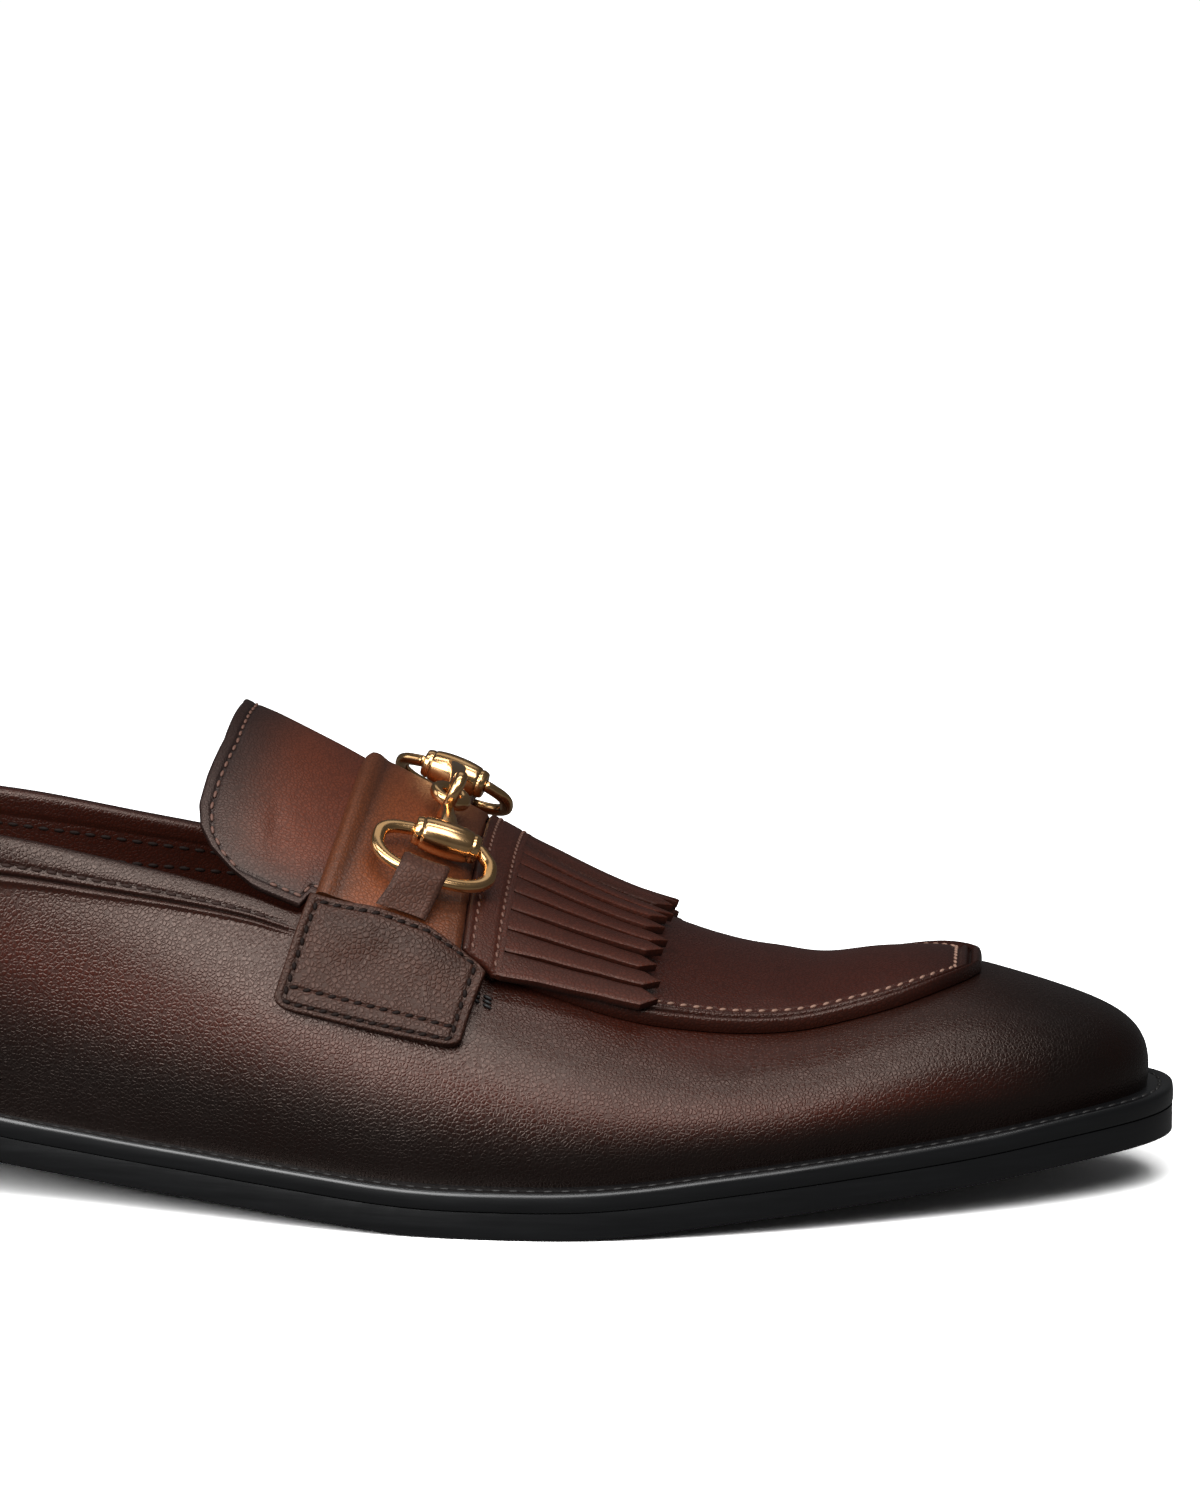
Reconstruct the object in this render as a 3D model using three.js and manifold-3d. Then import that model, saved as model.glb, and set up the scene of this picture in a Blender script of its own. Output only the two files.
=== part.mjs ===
// Kiltie loafer with snaffle bit, right shoe. Millimetres, +X to the toe,
// +Y to the medial side, +Z up; origin on the floor under the heel.
import * as THREE from 'three';
import Module from 'manifold-3d';

// ---------------------------------------------------------------- driving sizes
const LENGTH = 305;        // outsole, heel to toe
const WIDTH = 104;         // outsole across the ball
const CONE_H = 115;        // last's cone above the floor, at the heel
const COLLAR_H = 83;       // collar above the floor, at the back
const HEEL_H = 20.5;       // underside of the outsole above the floor, at the back
const SPRING = 9.1;        // toe spring
const OUTSOLE_T = 4.5;     // outsole thickness
const WELT_T = 3.2;        // welt thickness
const WELT_W = 4.8;        // welt showing outside the upper, at its widest
const LIFT_T = 6.0;        // top lift under the heel
const INSOLE_T = 6.0;      // insole with its filler
const WALL = 2.2;          // upper leather
const LAY = 1.6;           // thickness of tongue, apron and kiltie
const BAND_T = 1.2;        // saddle band
const TAB_T = 1.5;         // side tab, along its edges
const GAP = 0.3;           // between neighbouring pieces
const TILT = 0.028;        // the topline is lower on the medial side, by this share of the width
const TOE_SLOPE = -0.27;   // fall of the vamp in front of the apron
const BEAD = 0.5;          // bead along the apron's edge, above its face
const STRIPS = 15;         // strips of the fringe
const SLIT = 0.34;         // between two strips at their root
const TIP_LIFT = 1.1;      // strips rise off the vamp towards their tips
const RING_A = 10.0, RING_B = 5.6;     // half axes of the bit ring, to its middle
const RING_W = 1.2, RING_T = 0.95;     // half width and half thickness of the ring
const RING_SKEW = -0.8;    // the lateral ring sits back from the barrel's middle
const RING_RISE = 3.5;     // the ring's plane above the band
const BARREL_L = 11.6, BARREL_R = 3.15;
const BAR_R = 0.85;        // the ring's straight bar inside the barrel
const BORE_GAP = 0.32;     // around that bar
const EYE_R = 2.65, EYE_T = 1.06;      // linked eyes: ring radius and half thickness
const EYE_H = 3.8;         // half height of the upright eye
const KEEPER_W = 8.2, KEEPER_T = 1.0;

const ORIGIN = .1246 * LENGTH;         // heel centre, forward of the back of the sole
const HEEL_C = .1115 * LENGTH;         // centre of the rounded heel end of the outline
const TOE_C = .8918 * LENGTH;          // centre of the rounded toe end
const BREAST = .2426 * LENGTH;         // heel breast, forward of the back
const SOLE_T = OUTSOLE_T + GAP + WELT_T;
const LAY2 = GAP + LAY + GAP;          // height of the second layer above the upper
const BAND_TOP = LAY2 + BAND_T;

// ---------------------------------------------------------------- tables
// Stations are shares of LENGTH. Parameters of the last run from 0 at the feather to 1 on the ridge.
// sole outline: station, lateral and medial half width (shares of WIDTH)
const OUT = [[.1115, .3317, .3317], [.1967, .3269, .3029], [.2787, .3192, .2615], [.3607, .3413, .25],
  [.4426, .4038, .2885], [.5246, .4712, .3606], [.6066, .5144, .4346], [.6721, .5192, .4788],
  [.7279, .4952, .4808], [.7869, .4481, .4462], [.8393, .3885, .3846], [.8918, .3212, .3144]];
// underside of the outsole: station, share of HEEL_H, share of SPRING
const BOT = [[0, 1, 0], [.1115, .893, 0], [.1967, .78, 0], [.2525, .654, 0], [.3016, .498, 0], [.3475, .356, 0],
  [.4033, .254, 0], [.4623, .171, 0], [.518, .093, 0], [.5639, .027, 0], [.58, .0115, 0], [.5967, .0028, 0], [.6131, 0, 0],
  [.6525, 0, 0], [.6689, 0, .0105], [.685, 0, .031], [.7016, 0, .068], [.7508, 0, .231], [.8164, 0, .418], [.882, 0, .615], [.9475, 0, .879], [1, 0, 1]];
// welt showing outside the upper: station, share of WELT_W
const MAR = [[0, .417], [.1967, .417], [.2951, .458], [.3934, .583], [.4918, .792], [.5902, .958], [.7541, 1], [1, .958]];
// last: station, ridge y (of WIDTH), ridge z (of CONE_H), shoulder, side, bulge (of WIDTH)
const RID = [[.1115, 0, 1, .86, .5, .0385], [.1967, .0048, 1, .84, .5, .0337], [.2951, .0192, .9304, .76, .5, .0337],
  [.3607, .0385, .8348, .7, .5, .0337], [.4262, .0577, .7409, .66, .5, .0385],
  [.4918, .0692, .6557, .64, .5, .0433], [.541, .0712, .5878, .62, .5, .0462],
  [.5902, .0673, .5183, .6, .5, .0481], [.6393, .0596, .447, .6, .5, .0442], [.6885, .05, .38, .62, .5, .0404],
  [.7377, .0385, .3304, .64, .5, .0346], [.7869, .0269, .307, .66, .52, .0288],
  [.8393, .0135, .32, .7, .55, .0231], [.8656, .0077, .3235, .71, .6, .0212],
  [.8918, .0038, .3157, .72, .66, .0192]];
// collar topline seen from the side: station, height (of COLLAR_H); its last points are the throat under the tongue
const TOPLINE = [[-.0393, 1.0072], [0, 1], [.0328, .9831], [.0656, .9566], [.1049, .9181], [.1508, .8747], [.1967, .8361],
  [.2459, .8048], [.2951, .7795], [.3475, .7566], [.4066, .7145], [.4492, .6819], [.4852, .6494],
  [.5148, .6145], [.5279, .6193], [.541, .653], [.5541, .706], [.5639, .7651], [.5685, .8434]];
// lower edges of the overlays: station, parameter
const APRON_EDGE = [[.623, .52], [.6557, .526], [.7049, .535], [.7298, .552], [.7561, .568], [.7823, .588], [.8108, .612],
  [.837, .64], [.8525, .672], [.8656, .718], [.877, .785], [.8852, .858], [.8905, .93]];
const TONGUE_EDGE = [[.4557, .5], [.4639, .496], [.4787, .489], [.4951, .485], [.5154, .485], [.5207, .518], [.541, .53],
  [.5574, .538], [.5836, .542], [.6033, .525], [.6148, .509], [.623, .502]];
const TAB_TOP = [[.5115, .503], [.5213, .508], [.541, .517], [.5574, .525], [.5836, .529], [.6033, .512], [.6125, .499],
  [.617, .485]];
const TAB_FOOT = [[.5049, .283], [.5161, .283], [.5574, .294], [.5967, .307], [.6098, .314]];
const KILTIE_EDGE = [[.6033, .524], [.6131, .509], [.6177, .502], [.6207, .492], [.6262, .492], [.6459, .509], [.6777, .527],
  [.718, .528]];
// back edge of the tongue: parameter, station
const TONGUE_BACK = [[0, .4902], [.03, .4754], [.07, .4643], [.13, .4577], [.22, .4557], [.36, .458], [.6, .4636], [1, .4669]];
// where the layers begin and end
const THROAT = { tongue: .623 * LENGTH, apron: .6243 * LENGTH, bandBack: .5348 * LENGTH, bandWing: .0118 * LENGTH,
  bandFront: .603 * LENGTH, kiltie: .6039 * LENGTH, head: .6256 * LENGTH, free: .6328 * LENGTH, tip: .7089 * LENGTH,
  apronFront: .8905 * LENGTH, apronBare: .7016 * LENGTH };

// ---------------------------------------------------------------- helpers
// smooth curve through a table, Catmull-Rom slopes for uneven steps
function curve(tab, x, c = 1) {
  const n = tab.length;
  if (x <= tab[0][0]) return tab[0][c] + slopeAt(tab, 0, c) * (x - tab[0][0]);
  if (x >= tab[n - 1][0]) return tab[n - 1][c] + slopeAt(tab, n - 1, c) * (x - tab[n - 1][0]);
  let i = 0; while (x > tab[i + 1][0]) i++;
  const h = tab[i + 1][0] - tab[i][0], t = (x - tab[i][0]) / h;
  const m0 = slopeAt(tab, i, c) * h, m1 = slopeAt(tab, i + 1, c) * h;
  const t2 = t * t, t3 = t2 * t;
  return (2 * t3 - 3 * t2 + 1) * tab[i][c] + (t3 - 2 * t2 + t) * m0 + (-2 * t3 + 3 * t2) * tab[i + 1][c] + (t3 - t2) * m1;
}
function slopeAt(tab, i, c) {
  const n = tab.length;
  if (i === 0) return (tab[1][c] - tab[0][c]) / (tab[1][0] - tab[0][0]);
  if (i === n - 1) return (tab[n - 1][c] - tab[n - 2][c]) / (tab[n - 1][0] - tab[n - 2][0]);
  const h0 = tab[i][0] - tab[i - 1][0], h1 = tab[i + 1][0] - tab[i][0];
  const d0 = (tab[i][c] - tab[i - 1][c]) / h0, d1 = (tab[i + 1][c] - tab[i][c]) / h1;
  return (d0 * h1 + d1 * h0) / (h0 + h1);
}
function lin(tab, x, c = 1) {
  const n = tab.length;
  if (x <= tab[0][0]) return tab[0][c];
  if (x >= tab[n - 1][0]) return tab[n - 1][c];
  let i = 0; while (x > tab[i + 1][0]) i++;
  const f = (x - tab[i][0]) / (tab[i + 1][0] - tab[i][0]);
  return tab[i][c] + f * (tab[i + 1][c] - tab[i][c]);
}
const smooth = t => { t = Math.min(1, Math.max(0, t)); return t * t * (3 - 2 * t); };
const V = (x, y, z) => new THREE.Vector3(x, y, z);
const zbot = x => Math.max(0, HEEL_H * curve(BOT, x / LENGTH, 1) + SPRING * curve(BOT, x / LENGTH, 2));
const margin = x => WELT_W * curve(MAR, x / LENGTH);
const outHalf = (side, x) => WIDTH * curve(OUT, x / LENGTH, side < 0 ? 1 : 2);
// a point of the outline, drawn in by inset(x); q: -1..0 heel end, 0..1 sides, 1..2 toe end
function outline(side, q, inset) {
  if (q >= 0 && q <= 1) { const s = HEEL_C + (TOE_C - HEEL_C) * q; return { x: s, y: side * (outHalf(side, s) - inset(s)), s }; }
  const tip = q > 1, th = (tip ? q - 1 : -q) * Math.PI / 2, xc = tip ? TOE_C : HEEL_C, e = 1e-3;
  const f = x => outHalf(side, x) - inset(x), w = f(xc);
  const k = tip ? (f(xc) - f(xc - e)) / e : -(f(xc + e) - f(xc)) / e;
  const l = tip ? LENGTH - inset(LENGTH) - xc : xc - inset(0), n = tip ? 2.6 : 2.15;
  const c = Math.abs(Math.sin(th)) ** (2 / n), s = Math.abs(Math.cos(th)) ** (2 / n);
  return { x: xc + (tip ? l * c : -l * c), y: side * (w + k * l * c) * s, s: xc };
}
// the last, without offset: side, outline place q, parameter t (0 feather .. 1 ridge)
function lastPoint(side, q, t) {
  if (q > 2) { side = -side; q = 4 - q; }
  if (q < -1) { side = -side; q = -2 - q; }
  const F = outline(side, q, margin), S = F.s;
  const f = S / LENGTH, ry = WIDTH * curve(RID, f, 1), rz = CONE_H * curve(RID, f, 2), sh = curve(RID, f, 3);
  const sd = curve(RID, f, 4), bl = WIDTH * curve(RID, f, 5);
  const dx = F.x - S, dy = F.y - ry, h = Math.hypot(dx, dy), ux = dx / h, uy = dy / h;
  const zb = zbot(F.x) + SOLE_T, dz = q > 1 ? TOE_SLOPE * ux : 0, H = rz - zb;
  const b0 = (1 - t) ** 3, b1 = 3 * (1 - t) ** 2 * t, b2 = 3 * (1 - t) * t * t, b3 = t ** 3;
  const r = b0 * h + b1 * (h + bl) + b2 * sh * h;
  const z = b0 * zb + b1 * (zb + sd * H) + b2 * (rz + dz * sh * h) + b3 * rz;
  return V(S + r * ux, ry + r * uy, z);
}
// the last with an offset d along its normal
function surf(side, q, t, d) {
  const P = lastPoint(side, q, t), N = V(0, 0, 1), e = 1e-4;
  if (t > 1 - 1e-6) { // along the ridge both sides share one normal
    const s = q >= 1 - 1e-6 ? V(1, 0, -0.2) : q <= 1e-6 ? V(1, 0, 0)
      : lastPoint(side, q + e, 1).sub(lastPoint(side, q - e, 1));
    N.set(-s.z, 0, s.x).normalize();
  } else {
    const dq = lastPoint(side, q + e, t).sub(lastPoint(side, q - e, t));
    const t1 = Math.min(1, t + e), t0 = Math.max(0, t - e);
    const dt = lastPoint(side, q, t1).sub(lastPoint(side, q, t0));
    N.crossVectors(dq, dt).normalize();
    if (side > 0) N.negate();
  }
  return P.addScaledVector(N, d);
}
const qOf = s => (s - HEEL_C) / (TOE_C - HEEL_C);
const at = (side, s, t, d) => surf(side, qOf(s), t, d);
function normalAt(side, s, t) { return at(side, s, t, 1).sub(at(side, s, t, 0)).normalize(); }

// collects triangles of points, welds equal points, drops empty triangles
class Tri {
  constructor() { this.key = new Map(); this.pts = []; this.tri = []; }
  v(p) {
    const k = Math.round(p.x * 2e3) + ',' + Math.round(p.y * 2e3) + ',' + Math.round(p.z * 2e3);
    let i = this.key.get(k);
    if (i === undefined) { i = this.pts.length; this.pts.push(p.clone()); this.key.set(k, i); }
    return i;
  }
  t(a, b, c) { const i = this.v(a), j = this.v(b), k = this.v(c); if (i !== j && j !== k && k !== i) this.tri.push([i, j, k]); }
  quad(a, b, c, d) {
    if (a.distanceToSquared(c) <= b.distanceToSquared(d)) { this.t(a, b, c); this.t(a, c, d); }
    else { this.t(a, b, d); this.t(b, c, d); }
  }
  volume() {
    let v = 0;
    for (const [i, j, k] of this.tri) v += this.pts[i].dot(this.pts[j].clone().cross(this.pts[k])) / 6;
    return v;
  }
  geometry() {
    const flip = this.volume() < 0, pos = new Float32Array(this.pts.length * 3), idx = [];
    this.pts.forEach((p, i) => { pos[3 * i] = p.x - ORIGIN; pos[3 * i + 1] = p.y; pos[3 * i + 2] = p.z; });
    for (const [i, j, k] of this.tri) idx.push(i, flip ? k : j, flip ? j : k);
    const g = new THREE.BufferGeometry();
    g.setAttribute('position', new THREE.BufferAttribute(pos, 3)); g.setIndex(idx);
    return g;
  }
}
// a sheet with two faces, from a grid of top and bottom points and a mask of cells
function sheet(top, bot, mask = null, T = new Tri()) {
  const n = top.length - 1, m = top[0].length - 1, on = (i, j) => i >= 0 && j >= 0 && i < n && j < m && (!mask || mask(i, j));
  for (let i = 0; i < n; i++) for (let j = 0; j < m; j++) {
    if (!on(i, j)) continue;
    const A = top[i][j], B = top[i + 1][j], C = top[i + 1][j + 1], D = top[i][j + 1];
    const a = bot[i][j], b = bot[i + 1][j], c = bot[i + 1][j + 1], d = bot[i][j + 1];
    T.quad(A, B, C, D); T.quad(d, c, b, a);
    if (!on(i - 1, j)) T.quad(A, D, d, a);
    if (!on(i + 1, j)) T.quad(B, b, c, C);
    if (!on(i, j - 1)) T.quad(A, a, b, B);
    if (!on(i, j + 1)) T.quad(D, C, c, d);
  }
  return T;
}
// stations shared by everything that follows the outline
const STATIONS = [.1115, .1541, .1967, .2361, .2754, .3115, .3475, .3803, .4131, .4459, .4754, .5049, .5344, .5656,
  .5967, .6328, .6672, .6951, .7213, .7475, .7738, .8, .823, .8459, .8656, .8803, .8918].map(f => f * LENGTH);
const FAN = 8;
function ringQ() {
  const L = [];
  for (let i = FAN; i > 0; i--) L.push([-1, -i / FAN]);
  for (const s of STATIONS) L.push([-1, Math.min(1, Math.max(0, qOf(s)))]);
  for (let i = 1; i <= FAN; i++) L.push([-1, 1 + i / FAN]);
  for (let i = FAN - 1; i > 0; i--) L.push([1, 1 + i / FAN]);
  for (const s of [...STATIONS].reverse()) L.push([1, Math.min(1, Math.max(0, qOf(s)))]);
  for (let i = 1; i < FAN; i++) L.push([1, -i / FAN]);
  return L;
}
// across pairs: the ring walked from the heel, lateral index and its medial partner
function capStrips(T, ring) {
  const n = ring.length;
  for (let i = 0; i < n / 2; i++) {
    const a = ring[i], b = ring[i + 1], c = ring[(n - i - 1) % n], d = ring[(n - i) % n];
    T.quad(a, b, c, d);
  }
}
// a solid around the outline from rings of points, first and last capped across
function plate(rings) {
  const T = new Tri(), n = rings[0].length;
  for (let k = 0; k + 1 < rings.length; k++) for (let i = 0; i < n; i++) {
    const j = (i + 1) % n;
    T.quad(rings[k][i], rings[k][j], rings[k + 1][j], rings[k + 1][i]);
  }
  capStrips(T, [...rings[0]].map((p, i) => rings[0][(n - i) % n]));
  capStrips(T, rings[rings.length - 1]);
  return T;
}
function soleRing(inset, lift) {
  return ringQ().map(([side, q]) => {
    const F = outline(side, q, typeof inset === 'function' ? inset : () => inset);
    return V(F.x, F.y, zbot(F.x) + lift);
  });
}
// the closed last with offset d, reaching below the feather
const ROWS = [0, .07, .15, .24, .34, .44, .54, .64, .74, .83, .92, 1];
function lastSolid(d) {
  const T = new Tri(), R = ringQ(), n = R.length;
  const rows = ROWS.map(t => R.map(([side, q]) => surf(side, q, t, d)));
  rows.unshift(rows[0].map(p => V(p.x, p.y, p.z - 5)));
  for (let k = 0; k + 1 < rows.length; k++) for (let i = 0; i < n; i++) {
    const j = (i + 1) % n;
    T.quad(rows[k][i], rows[k][j], rows[k + 1][j], rows[k + 1][i]);
  }
  capStrips(T, rows[0].map((p, i) => rows[0][(n - i) % n]));
  return T;
}

// ---------------------------------------------------------------- joins and cuts
const wasm = await Module();
wasm.setup();
function toManifold(g) {
  return new wasm.Manifold(new wasm.Mesh({
    numProp: 3, vertProperties: new Float32Array(g.getAttribute('position').array),
    triVerts: new Uint32Array(g.getIndex().array),
  }));
}
function fromManifold(m) {
  const k = m.getMesh(), np = k.numProp, n = k.vertProperties.length / np, pos = new Float32Array(n * 3);
  for (let i = 0; i < n; i++) for (let c = 0; c < 3; c++) pos[3 * i + c] = k.vertProperties[np * i + c];
  const g = new THREE.BufferGeometry();
  g.setAttribute('position', new THREE.BufferAttribute(pos, 3)); g.setIndex([...k.triVerts]);
  return g;
}
const group = new THREE.Group();
group.name = 'kiltie_loafer';
// finishes: colour, roughness, metalness
const FINISH = {
  calf: [0x4a2a20, .38, 0], calf_warm: [0x5c3426, .42, 0], calf_grey: [0x574038, .45, 0], calf_tan: [0x765548, .5, 0],
  sole_edge: [0x16161a, .35, 0], insole: [0x6b4c38, .7, 0], heel_edge: [0x18181a, .35, 0], lift: [0x17171a, .6, 0],
  gold: [0xc79a4e, .18, 1],
};
function add(name, geo, look) {
  const [color, roughness, metalness] = FINISH[look];
  const m = new THREE.Mesh(geo, new THREE.MeshStandardMaterial({ color, roughness, metalness }));
  m.name = name; group.add(m);
}

// ---------------------------------------------------------------- sole
add('outsole', plate([
  soleRing(1.3, 0), soleRing(.2, .9), soleRing(0, OUTSOLE_T - .5), soleRing(.5, OUTSOLE_T)]).geometry(), 'sole_edge');

{ // welt: a band around the sole, its top level with the feather
  const inner = x => margin(x) + WALL - GAP, T = new Tri();
  const rings = [soleRing(.3, OUTSOLE_T + GAP), soleRing(.1, SOLE_T - .8),
    soleRing(.8, SOLE_T), soleRing(inner, SOLE_T), soleRing(inner, OUTSOLE_T + GAP)], n = rings[0].length;
  for (let k = 0; k < 5; k++) for (let i = 0; i < n; i++) {
    const a = rings[k], b = rings[(k + 1) % 5], j = (i + 1) % n;
    T.quad(a[i], a[j], b[j], b[i]);
  }
  add('welt', T.geometry(), 'sole_edge');
}
{ // insole with its filler, inside the welt and the upper
  const ins = x => margin(x) + WALL + GAP + .45;
  add('insole', plate([soleRing(ins, OUTSOLE_T + GAP), soleRing(ins, OUTSOLE_T + GAP + INSOLE_T - .3)]).geometry(), 'insole');
}
// heel block pieces: the outline at two heights, with a hollow breast
function heelPiece(z0, inset0, z1, inset1) {
  const T = new Tri();
  const ring = (inset, z) => {
    const pts = [];
    const mk = (side, q) => { const F = outline(side, q, () => inset); return V(F.x, F.y, typeof z === 'function' ? z(F.x) : z); };
    const qs = [0, .1541, .1902, .2197].map((f, i) => i ? qOf(f * LENGTH) : 0);
    for (const q of [...qs].reverse()) pts.push(mk(-1, q));
    for (let i = 1; i <= FAN; i++) pts.push(mk(-1, -i / FAN));
    for (let i = FAN - 1; i > 0; i--) pts.push(mk(1, -i / FAN));
    for (const q of qs) pts.push(mk(1, q));
    const bx = BREAST - inset * .8, br = [];
    for (let k = -3; k <= 3; k++) {
      const f = k / 3, w = k < 0 ? outHalf(-1, bx) - inset : outHalf(1, bx) - inset, x = bx - .04 * BREAST * (1 - f * f);
      br.push(V(x, f * w, typeof z === 'function' ? z(x) : z));
    }
    return { pts, br };
  };
  const A = ring(inset0, z0), B = ring(inset1, z1);
  const loop = r => [...r.pts, ...[...r.br].reverse()];
  const la = loop(A), lb = loop(B), n = la.length;
  for (let i = 0; i < n; i++) { const j = (i + 1) % n; T.quad(la[j], la[i], lb[i], lb[j]); }
  const cap = (r, up) => {
    const p = r.pts, b = r.br, m = p.length, tri = (x, y, z) => up ? T.t(x, y, z) : T.t(x, z, y);
    for (let i = 0; i < (m - 1) / 2 - .5; i++) {
      const a = p[i], c = p[i + 1], d = p[m - 2 - i], e = p[m - 1 - i];
      tri(a, e, d); tri(a, d, c);
    }
    const L = p[0], M = p[m - 1];
    tri(L, b[0], b[1]); tri(L, b[1], b[2]); tri(L, b[2], b[3]); tri(L, b[3], M);
    tri(M, b[3], b[4]); tri(M, b[4], b[5]); tri(M, b[5], b[6]);
  };
  cap(A, false); cap(B, true);
  return T;
}
add('heel_stack', heelPiece(LIFT_T + GAP, 1.5, x => zbot(x) - GAP, .5).geometry(), 'heel_edge');
add('top_lift', heelPiece(0, 1.9, LIFT_T, 1.5).geometry(), 'lift');

// ---------------------------------------------------------------- upper
{
  const outer = toManifold(lastSolid(0).geometry()), inner = toManifold(lastSolid(-WALL).geometry());
  // collar cutter: the side view of the opening, across the whole width
  const N = 30, line = [];
  for (let i = 0; i <= N; i++) {
    const u = i / N, f = u * (TOPLINE.length - 1), k = Math.min(TOPLINE.length - 2, Math.floor(f)), g = f - k;
    const P = j => TOPLINE[Math.max(0, Math.min(TOPLINE.length - 1, j))];
    const cr = c => .5 * (2 * P(k)[c] + (P(k + 1)[c] - P(k - 1)[c]) * g + (2 * P(k - 1)[c] - 5 * P(k)[c] + 4 * P(k + 1)[c] - P(k + 2)[c]) * g * g
      + (3 * P(k)[c] - P(k - 1)[c] - 3 * P(k + 1)[c] + P(k + 2)[c]) * g ** 3);
    line.push([cr(0) * LENGTH, cr(1) * COLLAR_H]);
  }
  const T = new Tri(), topZ = 1.3 * CONE_H, half = .77 * WIDTH;
  const L = line.map(([x, z]) => V(x, -half, z + TILT * (half - .29 * WIDTH))), R = line.map(([x, z]) => V(x, half, z - TILT * (half + .29 * WIDTH)));
  const LT = line.map(([x]) => V(x, -half, topZ)), RT = line.map(([x]) => V(x, half, topZ));
  for (let i = 0; i < N; i++) {
    T.quad(L[i], L[i + 1], R[i + 1], R[i]); T.quad(LT[i], RT[i], RT[i + 1], LT[i + 1]);
    T.quad(L[i], LT[i], LT[i + 1], L[i + 1]); T.quad(R[i], R[i + 1], RT[i + 1], RT[i]);
  }
  T.quad(L[0], R[0], RT[0], LT[0]); T.quad(L[N], LT[N], RT[N], R[N]);
  // everything under the feather goes, so that the upper is open along the foot
  const U = new Tri(), xs = [-.06, 0, .033, .072, ...STATIONS.map(v => v / LENGTH), .918, .944, .97, 1, 1.05].map(f => f * LENGTH);
  const row = (y, dz) => xs.map(x => V(x, y, dz === null ? -2 * HEEL_H : zbot(Math.max(0, Math.min(LENGTH, x))) + dz));
  const a = row(-half, SOLE_T + GAP), b = row(half, SOLE_T + GAP), c = row(-half, null), d = row(half, null);
  for (let i = 0; i + 1 < xs.length; i++) {
    U.quad(a[i], a[i + 1], b[i + 1], b[i]); U.quad(c[i], d[i], d[i + 1], c[i + 1]);
    U.quad(a[i], c[i], c[i + 1], a[i + 1]); U.quad(b[i], b[i + 1], d[i + 1], d[i]);
  }
  const z = xs.length - 1;
  U.quad(a[0], b[0], d[0], c[0]); U.quad(a[z], c[z], d[z], b[z]);
  const m = outer.subtract(inner).subtract(toManifold(T.geometry())).subtract(toManifold(U.geometry()));
  add('upper', fromManifold(m), 'calf');
}

// ---------------------------------------------------------------- overlays
// apron: lies on the vamp from the band to the toe, with a bead along its edge
{
  const S = [.6243, .6459, .6689, .6918, .7131, .7344, .7574, .7803, .8033, .8246, .8426, .8574, .8689, .877, .8816, .8866, .8905].map(f => f * LENGTH);
  const face = GAP + LAY, rim = [[0, face - .2], [1.0, face + BEAD], [2.1, face + .5 * BEAD], [2.9, face - .55], [4.0, face - .05], [6, face]];
  const rimD = s => lin(rim, s);
  const mid = [.2, .38, .56, .73, .88];
  const top = [], bot = [];
  S.forEach((s, i) => {
    const rowT = [], rowB = [];
    for (const side of [-1, 1]) {
      const tb = curve(APRON_EDGE, s / LENGTH), arc = [];
      // places across, by length from the edge
      const K = 40; let len = 0, prev = at(side, s, tb, 0); arc.push([0, tb]);
      for (let k = 1; k <= K; k++) { const t = tb + (1 - tb) * k / K, p = at(side, s, t, 0); len += p.distanceTo(prev); arc.push([len, t]); prev = p; }
      const cols = [0, .9, 2.1, 2.9, 4.0].map(x => x * Math.min(1, len / 9)), rest = mid.map(f => 4.0 * Math.min(1, len / 9) + (len - 4.0 * Math.min(1, len / 9)) * f);
      const all = [...cols, ...rest, len];
      const front = THROAT.apronFront - s;
      const A = all.map(x => {
        const t = lin(arc, x), e = Math.min(x, front * 1.15), h = s < THROAT.apronBare ? face : rimD(e);
        return [at(side, s, t, h), at(side, s, t, GAP)];
      });
      if (side > 0) { A.reverse(); A.shift(); }
      A.forEach(p => { rowT.push(p[0]); rowB.push(p[1]); });
    }
    top.push(rowT); bot.push(rowB);
  });
  add('apron', sheet(top, bot).geometry(), 'calf');
}
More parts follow.
